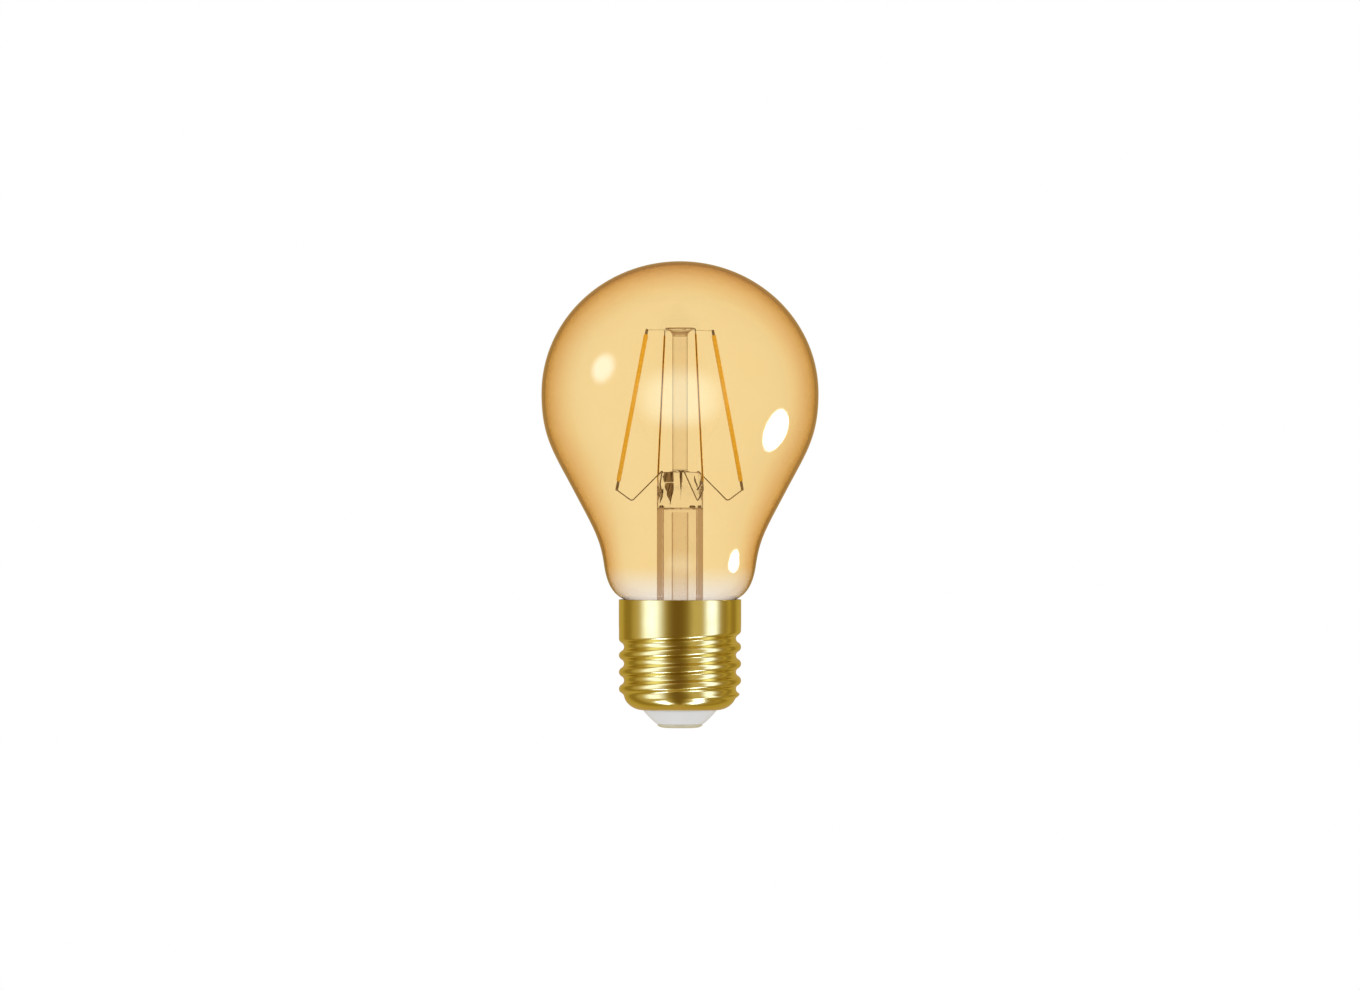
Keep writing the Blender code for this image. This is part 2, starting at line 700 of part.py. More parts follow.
def make_inductor():
    bottom, low, high, top = INDUCTOR_HEIGHTS
    core = [
        (0.0, top),
        (INDUCTOR_FLANGE, top),
        (INDUCTOR_FLANGE, high),
        (INDUCTOR_WAIST, high),
        (INDUCTOR_WAIST, low),
        (INDUCTOR_FLANGE, low),
        (INDUCTOR_FLANGE, bottom),
        (0.0, bottom),
    ]
    coil = [
        (WINDING_RADIUS, high - GAP),
        (WINDING_RADIUS, low + GAP),
        (INDUCTOR_WAIST + GAP, low + GAP),
        (INDUCTOR_WAIST + GAP, high - GAP),
    ]
    core_part = turned("inductor_core", core, "ferrite", SIDES_SMALL)
    winding = turned("inductor_winding", coil, "copper", SIDES_SMALL, closed=True)
    for part in (core_part, winding):
        part.location = (*INDUCTOR_PLACE, 0.0)


def make_hookup_wires(resistor_place):
    contact_end = Vector((0.0, 0.0, CONTACT_STEM_TOP + GAP))
    resistor_end = Vector((*resistor_place, RESISTOR[1] - GAP))
    live = [
        contact_end,
        contact_end + Vector((0.0, 0.0, HOOKUP_BEND)),
        resistor_end - Vector((0.0, 0.0, HOOKUP_BEND)),
        resistor_end,
    ]
    wire("live_wire", rounded_route(live, HOOKUP_BEND / 2), HOOKUP_WIRE_RADIUS, "wire_red")
    board_side = -(DRIVER_BOARD_SIZE[0] / 2 + GAP + HOOKUP_WIRE_RADIUS)
    shell_side = -(SKIRT_RADIUS - SHELL_WALL - 2 * GAP)
    neutral = [
        Vector((board_side, 0.0, NEUTRAL_START)),
        Vector((board_side, 0.0, NEUTRAL_TURN)),
        Vector((shell_side, 0.0, NEUTRAL_TURN)),
    ]
    wire("neutral_wire", rounded_route(neutral, HOOKUP_BEND), HOOKUP_WIRE_RADIUS, "wire_blue")


def make_driver():
    _, thickness, height = DRIVER_BOARD_SIZE
    block("driver_board", DRIVER_BOARD_SIZE, (0.0, 0.0, BOARD_TOP - height / 2), "board_green")
    front = -(thickness / 2 + GAP)
    back = thickness / 2 + GAP
    make_capacitors(front)
    make_inductor()
    resistor_place = (RESISTOR_X, front - RESISTOR[0])
    upright("fusible_resistor", RESISTOR, resistor_place, "resistor_blue")
    for name, size, (x, z) in CHIPS:
        block(name, size, (x, back + size[1] / 2, z), "black_plastic", CHIP_EDGE)
    make_hookup_wires(resistor_place)


def make_shield_can(near):
    """A pressed lid over the radio chip: a box without its board side, thickened inwards."""
    mesh = bpy.data.meshes.new("shield_can")
    shape = bmesh.new()
    bmesh.ops.create_cube(shape, size=1.0)
    bmesh.ops.scale(shape, vec=CAN_SIZE, verts=shape.verts)
    board_side = [face for face in shape.faces if face.normal.y < -0.5]
    bmesh.ops.delete(shape, geom=board_side, context="FACES_ONLY")
    shape.to_mesh(mesh)
    shape.free()
    can = add_part("shield_can", mesh, "can_aluminium")
    can.location = (0.0, near + CAN_SIZE[1] / 2, RADIO_HEIGHT)
    solidify(can, CAN_WALL)


def make_radio():
    _, thickness, height = WIRELESS_BOARD_SIZE
    board_place = (0.0, WIRELESS_BOARD_Y, BOARD_TOP - height / 2)
    block("wireless_board", WIRELESS_BOARD_SIZE, board_place, "board_green")
    near = WIRELESS_BOARD_Y - thickness / 2
    far = WIRELESS_BOARD_Y + thickness / 2 + GAP
    driver_face = DRIVER_BOARD_SIZE[1] / 2
    width, height = CONNECTOR_SIZE
    connector_size = (width, near - driver_face - 2 * GAP, height)
    connector_place = (0.0, (near + driver_face) / 2, CONNECTOR_HEIGHT)
    block("board_connector", connector_size, connector_place, "black_plastic", CHIP_EDGE)
    chip_place = (0.0, far + RADIO_CHIP_SIZE[1] / 2, RADIO_HEIGHT)
    block("wireless_chip", RADIO_CHIP_SIZE, chip_place, "black_plastic", CHIP_EDGE / 2)
    make_shield_can(far)
    route = [Vector((0.0, WIRELESS_BOARD_Y, BOARD_TOP + GAP))]
    route += [Vector((0.0, y, z)) for y, z in ANTENNA_BENDS]
    wire("antenna_wire", rounded_route(route, HOOKUP_BEND), ANTENNA_RADIUS, "copper")


clear_scene()
PARTS = new_collection("smart_light_bulb")
CUTTERS = new_collection("cutters")
make_envelope()
make_stem()
make_exhaust_tube()
make_pillar()
make_filaments()
make_support_wires()
make_top_wires()
make_lead_wires()
make_screw_shell()
make_cap_base()
make_driver()
make_radio()
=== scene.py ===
# %% [markdown]
# # A smart filament bulb, piece by piece
# The bulb is an A60 lamp with an E27 screw cap: an amber glass envelope, a clear glass stem that
# carries four slanted LED strips, a pressed brass cap, and a driver with a radio inside the cap.
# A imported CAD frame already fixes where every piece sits. This lesson keeps those places and gives
# each visible piece its fine surface and its finish. Everything is in metres, with Z up the axis.

# %% Load the frame
import math

import bmesh
import bpy
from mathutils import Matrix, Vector


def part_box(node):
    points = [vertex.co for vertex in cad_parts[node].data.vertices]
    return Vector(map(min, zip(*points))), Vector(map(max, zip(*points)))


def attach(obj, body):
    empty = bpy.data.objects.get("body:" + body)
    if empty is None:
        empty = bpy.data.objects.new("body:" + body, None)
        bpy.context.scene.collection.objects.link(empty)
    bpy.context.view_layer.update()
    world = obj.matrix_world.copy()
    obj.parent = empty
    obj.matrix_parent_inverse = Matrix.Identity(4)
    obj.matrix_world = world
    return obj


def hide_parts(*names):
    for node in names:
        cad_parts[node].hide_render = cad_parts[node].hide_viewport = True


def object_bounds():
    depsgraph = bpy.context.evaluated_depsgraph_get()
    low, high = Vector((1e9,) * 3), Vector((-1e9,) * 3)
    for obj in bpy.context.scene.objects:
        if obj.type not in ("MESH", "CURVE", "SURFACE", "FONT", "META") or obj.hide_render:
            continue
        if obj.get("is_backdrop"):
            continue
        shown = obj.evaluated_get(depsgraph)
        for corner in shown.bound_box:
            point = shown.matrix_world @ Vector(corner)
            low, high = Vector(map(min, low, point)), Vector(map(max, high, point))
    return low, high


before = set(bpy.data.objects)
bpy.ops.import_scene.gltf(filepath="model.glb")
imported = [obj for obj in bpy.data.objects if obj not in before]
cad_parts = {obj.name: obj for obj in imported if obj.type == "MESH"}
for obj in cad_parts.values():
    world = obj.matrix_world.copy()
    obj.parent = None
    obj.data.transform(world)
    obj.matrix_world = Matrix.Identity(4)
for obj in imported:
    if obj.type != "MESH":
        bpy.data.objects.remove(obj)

CAD_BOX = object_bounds()
print("nodes in the frame:", len(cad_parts))

# %% [markdown]
# ## Reading sizes from the frame
# A maker measures the parts on the bench before making the visible shell around them. Each node's
# box gives its lowest and highest corner, so radii and heights come from there and stay true if
# the CAD changes.

# %% Measure the pieces


def radius_of(node):
    low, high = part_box(node)
    return (high[0] - low[0]) / 2


def bottom_of(node):
    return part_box(node)[0][2]


def top_of(node):
    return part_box(node)[1][2]


BULB_RADIUS = radius_of("glass_envelope")
BULB_TOP = top_of("glass_envelope")
NECK_BOTTOM = bottom_of("glass_envelope")
SKIRT_RADIUS = radius_of("screw_shell")
SKIRT_TOP = top_of("screw_shell")
SHELL_BOTTOM = bottom_of("screw_shell")
PRESS_TOP = top_of("stem_glass")
print(f"glass {BULB_RADIUS * 2000:.1f} mm wide, bulb {BULB_TOP * 1000:.1f} mm tall")

# %% [markdown]
# ## Helpers that make meshes
# Most of a bulb is turned: a profile spun round the axis. A profile is a short list of arcs and
# Bezier curves in (radius, height), and spinning it many times round gives a surface whose edge
# stays smooth even close up. Strips and blades are skinned over a row of rings, and wires are
# thin curves with a round bevel.

# %% Profile and turning helpers
MERGE_DISTANCE = 1e-7


def arc(centre, radius, start, end, steps):
    """Points of an arc in the profile plane, angles in degrees from the +radius direction."""
    turns = [math.radians(start + (end - start) * i / steps) for i in range(steps + 1)]
    return [(centre[0] + radius * math.cos(t), centre[1] + radius * math.sin(t)) for t in turns]


def bezier(start, start_handle, end_handle, end, steps):
    """Points of a cubic curve in the profile plane, both ends included."""
    points = []
    for i in range(steps + 1):
        t = i / steps
        u = 1 - t
        weights = (u**3, 3 * u * u * t, 3 * u * t * t, t**3)
        corners = (start, start_handle, end_handle, end)
        points.append(tuple(sum(w * c[k] for w, c in zip(weights, corners)) for k in (0, 1)))
    return points


def smooth_step(value, low, high):
    t = min(max((value - low) / (high - low), 0.0), 1.0)
    return t * t * (3 - 2 * t)


def offset(profile, wall):
    """The same profile moved inwards by the wall's thickness, square to the surface."""
    moved = []
    for i, (radius, height) in enumerate(profile):
        before = profile[max(i - 1, 0)]
        after = profile[min(i + 1, len(profile) - 1)]
        along = Vector((after[0] - before[0], after[1] - before[1])).normalized()
        moved.append((max(radius + along.y * wall, 0.0), height - along.x * wall))
    return moved


def finished_mesh(name, shape):
    """Turn the faces outwards and hand the shape over as a smooth mesh."""
    bmesh.ops.recalc_face_normals(shape, faces=shape.faces)
    mesh = bpy.data.meshes.new(name)
    shape.to_mesh(mesh)
    shape.free()
    mesh.shade_smooth()
    return mesh


def turned(name, profile, sides, closed=False):
    """Spin a profile once round Z into a mesh that faces outwards."""
    shape = bmesh.new()
    points = [shape.verts.new((radius, 0.0, height)) for radius, height in profile]
    edges = [shape.edges.new(pair) for pair in zip(points, points[1:])]
    if closed:
        edges.append(shape.edges.new((points[-1], points[0])))
    bmesh.ops.spin(
        shape, geom=edges + points, cent=(0, 0, 0), axis=(0, 0, 1), angle=math.tau, steps=sides,
        use_merge=True,
    )
    bmesh.ops.remove_doubles(shape, verts=shape.verts, dist=MERGE_DISTANCE)
    return finished_mesh(name, shape)


def skin(shape, rings):
    """Join each ring of points to the next with quads, close both ends, return the quads."""
    quads = []
    for lower, upper in zip(rings, rings[1:]):
        for side in range(len(lower)):
            after = (side + 1) % len(lower)
            corners = (lower[side], lower[after], upper[after], upper[side])
            quads.append(shape.faces.new(corners))
    shape.faces.new(rings[0][::-1])
    shape.faces.new(rings[-1])
    return quads


def new_object(data):
    """Put a mesh, curve, lamp or camera in the scene, under its own name."""
    made = bpy.data.objects.new(data.name, data)
    bpy.context.scene.collection.objects.link(made)
    return made


def add_piece(data, material, slot, *nodes):
    """Show a mesh or curve, ride it on the bulb and let it stand for CAD nodes."""
    piece = new_object(data)
    data.materials.append(material)
    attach(piece, "root")
    if nodes:
        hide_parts(*nodes)
    return piece


# %% [markdown]
# ## Helpers that make finishes
# Every finish starts from one Principled shader. A pattern is made of a few noise or wave nodes
# read in object space, so it sits still on the piece and has its size in real millimetres. Values
# that are the same all over go straight on the shader's sockets.

# %% Material helpers


def new_finish(name, **values):
    """A Principled material; values set sockets by their names with underscores for spaces."""
    material = bpy.data.materials.new(name)
    material.use_nodes = True
    shader = material.node_tree.nodes["Principled BSDF"]
    for key, value in values.items():
        shader.inputs[key.replace("_", " ")].default_value = value
    return material, material.node_tree, shader


def node(tree, kind, **settings):
    """Add a node; settings that name an input set its value, the rest set a property."""
    made = tree.nodes.new(kind)
    for key, value in settings.items():
        label = key.replace("_", " ")
        if label in made.inputs:
            made.inputs[label].default_value = value
        else:
            setattr(made, key, value)
    return made


def link(tree, source, target):
    tree.links.new(source, target)


def object_place(tree, stretch=(1.0, 1.0, 1.0)):
    """Object coordinates, stretched so that a pattern can run along or round a piece."""
    place = node(tree, "ShaderNodeTexCoord")
    spread = node(tree, "ShaderNodeMapping", Scale=stretch)
    link(tree, place.outputs["Object"], spread.inputs["Vector"])
    return spread.outputs["Vector"]


def noise(tree, place, scale, detail=2.0):
    made = node(tree, "ShaderNodeTexNoise", Scale=scale, Detail=detail)
    link(tree, place, made.inputs["Vector"])
    return made.outputs["Fac"]


def spread_value(tree, source, low=0.0, high=1.0, start=0.3, end=0.7):
    """Map the middle of a noise, from start to end, onto the range low to high."""
    mapped = node(
        tree, "ShaderNodeMapRange", From_Min=start, From_Max=end, To_Min=low, To_Max=high
    )
    link(tree, source, mapped.inputs["Value"])
    return mapped.outputs["Result"]


def blend_colours(tree, share, first, second):
    mixed = node(tree, "ShaderNodeMix", data_type="RGBA")
    for socket, value in ((6, first), (7, second)):
        if isinstance(value, tuple):
            mixed.inputs[socket].default_value = (*value, 1.0)
        else:
            link(tree, value, mixed.inputs[socket])
    link(tree, share, mixed.inputs[0])
    return mixed.outputs[2]


def mottled(name, first, second, scale, detail=2.0, **values):
    """A finish in two close shades; also gives the coordinates and the noise that mixes them."""
    material, tree, shader = new_finish(name, **values)
    place = object_place(tree)
    share = spread_value(tree, noise(tree, place, scale, detail))
    link(tree, blend_colours(tree, share, first, second), shader.inputs["Base Color"])
    return material, tree, shader, place, share


def add_bump(tree, shader, height, strength, distance):
    bump = node(tree, "ShaderNodeBump", Strength=strength, Distance=distance)
    link(tree, height, bump.inputs["Height"])
    link(tree, bump.outputs["Normal"], shader.inputs["Normal"])


# %% [markdown]
# ## Amber glass
# The envelope is blown soda-lime glass with a transparent amber lacquer. The lacquer stops short
# of the cap, so the glass fades to clear over the last few millimetres. A tint in the base colour
# is the simplest true model: light crosses two walls, and each wall takes its share. Where a wall
# slants away, light has more lacquer to cross, so the tint deepens to orange towards the outline.
# The height drives the fade, and a faint noise makes the coat a little uneven, as dipping does.

# %% Amber glass finish
FADE_LOW, FADE_HIGH = 0.0272, 0.0352
CLEAR_TINT = (0.985, 0.972, 0.965)
AMBER_THIN = (1.000, 0.868, 0.590)
AMBER_THICK = (1.000, 0.852, 0.565)
AMBER_EDGE = (1.000, 0.500, 0.100)
SLANT_START, SLANT_END = 0.35, 0.95


def amber_glass():
    material, tree, shader = new_finish(
        "amber_glass", Roughness=0.0, IOR=1.5, Transmission_Weight=1.0
    )
    place = object_place(tree)
    uneven = spread_value(tree, noise(tree, place, 60.0))
    amber = blend_colours(tree, uneven, AMBER_THIN, AMBER_THICK)
    slant = node(tree, "ShaderNodeLayerWeight", Blend=0.5)
    slanted = spread_value(tree, slant.outputs["Facing"], 0.0, 1.0, SLANT_START, SLANT_END)
    amber = blend_colours(tree, slanted, amber, AMBER_EDGE)
    height = node(tree, "ShaderNodeSeparateXYZ")
    link(tree, place, height.inputs["Vector"])
    fade = spread_value(tree, height.outputs["Z"], 0.0, 1.0, FADE_LOW, FADE_HIGH)
    link(tree, blend_colours(tree, fade, CLEAR_TINT, amber), shader.inputs["Base Color"])
    add_bump(tree, shader, noise(tree, place, 90.0, 1.0), 0.02, 0.0004)
    return material


AMBER_GLASS = amber_glass()
print("made", AMBER_GLASS.name)

# %% [markdown]
# ## The glass envelope
# The outside runs from the pole over a slightly flattened dome, down a straight taper, round a
# shoulder and in under the brass rim to the neck, which is hidden in the skirt. The real wall is
# about 0.7 mm, drawn thinner at the neck, so the mesh has an outside and an inside and the light
# bends in it twice.

# %% Envelope
DOME_CENTRE = 0.0724
TAPER_POINT = Vector((0.02315, 0.0516))
TAPER_ANGLE = math.radians(27.8)
WAIST_POINT = Vector((0.01644, 0.0352))
WAIST_ANGLE = math.radians(8.2)
CURL_POINT = Vector((0.0119, 0.02775))
CURL_ANGLE = math.radians(70)
NECK_RADIUS = 0.0110
GLASS_WALL = 0.0007
NECK_WALL = 0.0005
NECK_THINNING = (0.0320, 0.0400)
NECK_DROP = 0.0012
ENVELOPE_SIDES = 160


def slope(angle):
    """The way down along the outline where the wall leans inwards by this angle."""
    return Vector((-math.sin(angle), -math.cos(angle)))


def envelope_outline():
    """Dome, belly, waist, shoulder and neck, each curve leaving at the slope the last one had."""
    taper, waist, curl = slope(TAPER_ANGLE), slope(WAIST_ANGLE), slope(CURL_ANGLE)
    dome = [
        (x * BULB_RADIUS, DOME_CENTRE + z * (BULB_TOP - DOME_CENTRE))
        for x, z in arc((0.0, 0.0), 1.0, 90, 0, 44)
    ]
    dome[0] = (0.0, BULB_TOP)
    belly_start = Vector((BULB_RADIUS, DOME_CENTRE))
    belly = bezier(
        belly_start, belly_start + slope(0) * 0.0094, TAPER_POINT - taper * 0.0090,
        TAPER_POINT, 24,
    )
    waisted = bezier(
        TAPER_POINT, TAPER_POINT + taper * 0.0095, WAIST_POINT - waist * 0.0060,
        WAIST_POINT, 24,
    )
    shoulder = bezier(
        WAIST_POINT, WAIST_POINT + waist * 0.0032, CURL_POINT - curl * 0.0032, CURL_POINT, 24
    )
    neck_end = Vector((NECK_RADIUS, CURL_POINT.y - NECK_DROP))
    neck = bezier(
        CURL_POINT, CURL_POINT + curl * 0.0006, neck_end - slope(0) * 0.0006, neck_end, 6
    )
    return dome + belly[1:] + waisted[1:] + shoulder[1:] + neck[1:] + [(NECK_RADIUS, NECK_BOTTOM)]


def inner_glass(profile):
    """The inside: square to the outside above, and moved level where the neck is drawn thin."""
    made = []
    for (radius, height), square in zip(profile, offset(profile, GLASS_WALL)):
        share = smooth_step(height, *NECK_THINNING)
        level = (radius - NECK_WALL, height)
        made.append(tuple(a + (b - a) * share for a, b in zip(level, square)))
    return made


outside = envelope_outline()
inside = inner_glass(outside)
inside[0] = (0.0, BULB_TOP - GLASS_WALL)
envelope = add_piece(
    turned("envelope", outside + inside[::-1], ENVELOPE_SIDES), AMBER_GLASS, "amber_glass",
    "glass_envelope",
)
print("envelope faces:", len(envelope.data.polygons))

# %% [markdown]
# ## Clear stem glass
# The flare tube, the press, the pillar and the thin dish on its top are one piece of clear glass,
# fused in a flame. I turn them as one profile and then squeeze the hot press flat along Y, which
# is what the real machine's jaws do. The dish carries the two wires that cross at the top.

# %% Clear glass finish


def clear_glass():
    material, tree, shader = new_finish(
        "clear_glass", Roughness=0.0, IOR=1.5, Transmission_Weight=1.0
    )
    place = object_place(tree)
    drawn = object_place(tree, (1, 1, 0.15))
    streaks = spread_value(tree, noise(tree, drawn, 500.0))
    tint = blend_colours(tree, streaks, (1.000, 0.985, 0.975), (0.985, 0.970, 0.955))
    link(tree, tint, shader.inputs["Base Color"])
    add_bump(tree, shader, noise(tree, place, 350.0, 1.0), 0.04, 0.0003)
    return material


CLEAR_GLASS = clear_glass()

# %% Stem, pillar and dish
PRESS_LOW, PRESS_HIGH = 0.0482, 0.0540
PRESS_THINNING = 0.56
PRESS_GRIP_START, PRESS_GRIP_FULL = 0.0002, 0.0030
PRESS_CORNER = 0.0036
PRESS_FOOT = 0.0520
PRESS_ROWS, PRESS_ROW = 16, 0.0003
TUBE_RADIUS = 0.0050
TUBE_BORE = 0.0039
RIM_RADIUS = 0.0100
RIM_BORE = 0.0090
FLARE_START = 0.0276
FLARE_HANDLE = 0.0032
BORE_TOP = 0.0478
PILLAR_RADIUS = 0.00165
PILLAR_BORE = 0.00156
PILLAR_TOP = 0.0850
DISH_RADIUS = 0.0031
DISH_TOP = 0.0866
DISH_FLOOR = 0.0852
DISH_EDGE = 0.0003
STEM_SIDES = 96


def squeeze(mesh):
    """Press the glass between flat jaws: flat faces and round sides at the same width."""
    for vertex in mesh.vertices:
        point = vertex.co
        reach = math.hypot(point.x, point.y)
        if reach == 0.0 or point.z > PRESS_TOP + 0.0001:
            continue
        grip = smooth_step(point.z, PRESS_LOW, PRESS_HIGH)
        grip *= smooth_step(reach, PILLAR_RADIUS + PRESS_GRIP_START, PRESS_GRIP_FULL)
        half = reach * (1 - (1 - PRESS_THINNING) * grip)
        past = max(abs(point.x) - (reach - half), 0.0)
        point.y = math.copysign(math.sqrt(max(half**2 - past**2, 0.0)), point.y)


def stem_profile():
    """Down the outside from the dish to the flare's rim, then up inside the bore to its end."""
    dish = bezier(
        (0.0, DISH_FLOOR), (0.0012, DISH_FLOOR), (0.0022, 0.0863), (DISH_RADIUS, DISH_TOP), 12,
    )
    lip = bezier(
        (DISH_RADIUS, DISH_TOP), (DISH_RADIUS + 0.0001, DISH_TOP),
        (DISH_RADIUS + 0.0001, DISH_TOP - 0.0002), (DISH_RADIUS, DISH_TOP - DISH_EDGE), 5,
    )
    neck = bezier(
        (DISH_RADIUS, DISH_TOP - DISH_EDGE), (0.0023, 0.0860), (PILLAR_RADIUS, 0.0855),
        (PILLAR_RADIUS, PILLAR_TOP - 0.0002), 10,
    )
    pillar = [(PILLAR_RADIUS, PILLAR_TOP - 0.0010), (PILLAR_RADIUS, PRESS_TOP + 0.0020)]
    root = bezier(
        (PILLAR_RADIUS, PRESS_TOP + 0.0005), (PILLAR_RADIUS, PRESS_TOP + 0.0001),
        (PILLAR_RADIUS + 0.0003, PRESS_TOP), (PRESS_CORNER, PRESS_TOP), 8,
    )
    edge = bezier(
        (PRESS_CORNER, PRESS_TOP), (0.0048, PRESS_TOP), (0.0048, 0.0546), (0.00495, 0.0532), 8,
    )
    press = [(TUBE_RADIUS, PRESS_FOOT - PRESS_ROW * i) for i in range(PRESS_ROWS)]
    flare = bezier(
        (TUBE_RADIUS, FLARE_START), (TUBE_RADIUS, FLARE_START - FLARE_HANDLE),
        (RIM_RADIUS, NECK_BOTTOM + FLARE_HANDLE), (RIM_RADIUS, NECK_BOTTOM), 20,
    )
    bore = bezier(
        (RIM_BORE, NECK_BOTTOM), (RIM_BORE, NECK_BOTTOM + FLARE_HANDLE),
        (TUBE_BORE, FLARE_START - FLARE_HANDLE), (TUBE_BORE, FLARE_START), 20,
    )
    bore_end = bezier(
        (TUBE_BORE, BORE_TOP - 0.0006), (TUBE_BORE, BORE_TOP - 0.0002),
        (TUBE_BORE - 0.0001, BORE_TOP), (TUBE_BORE - 0.0004, BORE_TOP), 8,
    )
    outer = dish + lip[1:] + neck[1:] + pillar + root + edge[1:] + press + flare
    return outer + bore + bore_end + [(0.0, BORE_TOP)]


stem = add_piece(
    turned("stem_and_pillar", stem_profile(), STEM_SIDES), CLEAR_GLASS, "clear_glass",
    "stem_glass", "centre_pillar", "pillar_button",
)
squeeze(stem.data)
print("stem faces:", len(stem.data.polygons))

# %% [markdown]
# The pillar is a hollow tube, so it needs an inner wall too. A closed surface inside the glass,
# facing the hollow, tells the renderer that the middle is empty. It joins the same piece.

# %% Hollow of the pillar
HOLLOW_TOP = 0.0850
HOLLOW_FOOT = 0.0558
HOLLOW_CORNER = 0.0003

hollow_profile = [(0.0, HOLLOW_TOP)]
hollow_profile += bezier(
    (PILLAR_BORE - HOLLOW_CORNER, HOLLOW_TOP), (PILLAR_BORE, HOLLOW_TOP),
    (PILLAR_BORE, HOLLOW_TOP - 0.0001), (PILLAR_BORE, HOLLOW_TOP - 0.0006), 5,
)
hollow_profile += [(PILLAR_BORE, HOLLOW_TOP - 0.0014), (PILLAR_BORE, HOLLOW_FOOT + 0.0012)]
hollow_profile += [(PILLAR_BORE, HOLLOW_FOOT), (0.0, HOLLOW_FOOT)]
hollow = turned("hollow", hollow_profile, STEM_SIDES)
shape = bmesh.new()
shape.from_mesh(hollow)
bmesh.ops.reverse_faces(shape, faces=shape.faces)
shape.from_mesh(stem.data)
shape.to_mesh(stem.data)
shape.free()
stem.data.shade_smooth()
stem.data.set_sharp_from_angle(angle=math.radians(35))

# %% [markdown]
# The exhaust tube stands inside the flare. The bulb was pumped and filled through it, and a flame
# then closed its lower end to a soft point.

# %% Exhaust tube
EXHAUST_RADIUS = radius_of("exhaust_tube")
EXHAUST_BORE = 0.00162
EXHAUST_TOP = top_of("exhaust_tube")
EXHAUST_TIP = bottom_of("exhaust_tube")

tube_inside = bezier(
    (0.0, EXHAUST_TIP + 0.0010), (0.0008, EXHAUST_TIP + 0.0012),
    (EXHAUST_BORE, EXHAUST_TIP + 0.0020), (EXHAUST_BORE, EXHAUST_TIP + 0.0032), 8,
)
tube_end = [(EXHAUST_BORE, EXHAUST_TOP), (EXHAUST_RADIUS, EXHAUST_TOP)]
tube_outside = bezier(
    (EXHAUST_RADIUS, EXHAUST_TIP + 0.0030), (EXHAUST_RADIUS, EXHAUST_TIP + 0.0012),
    (0.0006, EXHAUST_TIP + 0.0008), (0.0, EXHAUST_TIP), 8,
)
exhaust = add_piece(
    turned("exhaust_pipe", tube_inside + tube_end + tube_outside, 64), CLEAR_GLASS,
    "clear_glass", "exhaust_tube",
)
exhaust.data.set_sharp_from_angle(angle=math.radians(50))

# %% [markdown]
# ## Metals inside the bulb
# The support wires are drawn nickel-plated iron, dull and slightly browned by the heat of
# sealing. The two thin wires across the top are tinned and paler, and the leads are copper. Fine
# streaks along the wire vary the gloss as a drawing die does.

# %% Wire finishes


def drawn_metal(name, bright, dull, roughness, metallic=1.0):
    """Wire drawn through a die: a stain in two shades, and streaks that vary the gloss."""
    material, tree, shader, _, _ = mottled(name, bright, dull, 900.0, 3.0, Metallic=metallic)
    streaks = noise(tree, object_place(tree, (1, 1, 0.2)), 4000.0)
    gloss = spread_value(tree, streaks, roughness - 0.08, roughness + 0.10)
    link(tree, gloss, shader.inputs["Roughness"])
    add_bump(tree, shader, streaks, 0.15, 0.00002)
    return material


NICKEL = drawn_metal("nickel_wire", (0.52, 0.46, 0.38), (0.30, 0.24, 0.17), 0.32)
COPPER = drawn_metal("copper_wire", (0.80, 0.42, 0.25), (0.55, 0.25, 0.14), 0.30)
MATT_TIN = drawn_metal("matt_tinned_wire", (0.92, 0.86, 0.80), (0.84, 0.78, 0.72), 0.50, 0.25)

# %% [markdown]
# ## LED strips
# Each strip is a thin carrier with a row of tiny chips under an orange silicone coat. Face on it
# is bright orange; on its edge the bare carrier shows darker. The coat is a swollen rounded bar
# with a gentle ripple where it flows over the chips, so I loft a soft section along the strip.
# The wave texture draws the row of chips; at a scale of one its bands are 0.314 m apart. The coat
# also has a faint orange emission, a painted glow far weaker than the lit bulb, that brightens it.

# %% Strip finishes
CHIP_PITCH = 0.00115
WAVE_PITCH = 0.314


def phosphor_with_painted_glow():
    # The faint orange emission is a painted glow, far weaker than the lit bulb, that brightens the
    # coat.
    material, tree, shader = new_finish(
        "phosphor_with_painted_glow", Roughness=0.42, Emission_Color=(0.92, 0.46, 0.02, 1.0),
        Emission_Strength=0.16,
    )
    place = object_place(tree)
    grain = spread_value(tree, noise(tree, place, 2500.0, 3.0))
    base = blend_colours(tree, grain, (0.920, 0.550, 0.040), (0.870, 0.470, 0.022))
    chips = node(
        tree, "ShaderNodeTexWave", wave_type="BANDS", bands_direction="Z", wave_profile="SIN",
        Scale=WAVE_PITCH / CHIP_PITCH,
    )
    link(tree, place, chips.inputs["Vector"])
    glow = spread_value(tree, chips.outputs["Fac"], 0.0, 0.35, 0.55, 1.0)
    link(tree, blend_colours(tree, glow, base, (0.98, 0.66, 0.10)), shader.inputs["Base Color"])
    add_bump(tree, shader, grain, 0.2, 0.00003)
    return material


def carrier_edge():
    material, tree, shader, _, grain = mottled(
        "carrier_edge", (0.300, 0.120, 0.018), (0.200, 0.070, 0.010), 1800.0, 3.0,
        Roughness=0.35,
    )
    add_bump(tree, shader, grain, 0.2, 0.00002)
    return material


PHOSPHOR_PAINTED_GLOW = phosphor_with_painted_glow()
CARRIER_EDGE = carrier_edge()

# %% Strip lines and bars
END_REACH = 0.0006
TIP_LENGTH = 0.8
TIP_SWELL = 0.35
EDGE_LIMIT = 0.35


def node_line(name):
    """The two ends of a strip's centre line: the mean of its highest and of its lowest points."""
    points = [vertex.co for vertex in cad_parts[name].data.vertices]
    low = min(point.z for point in points)
    high = max(point.z for point in points)
    ends = []
    for height in (high, low):
        group = [point for point in points if abs(point.z - height) < END_REACH]
        ends.append(sum(group, Vector()) / len(group))
    return ends


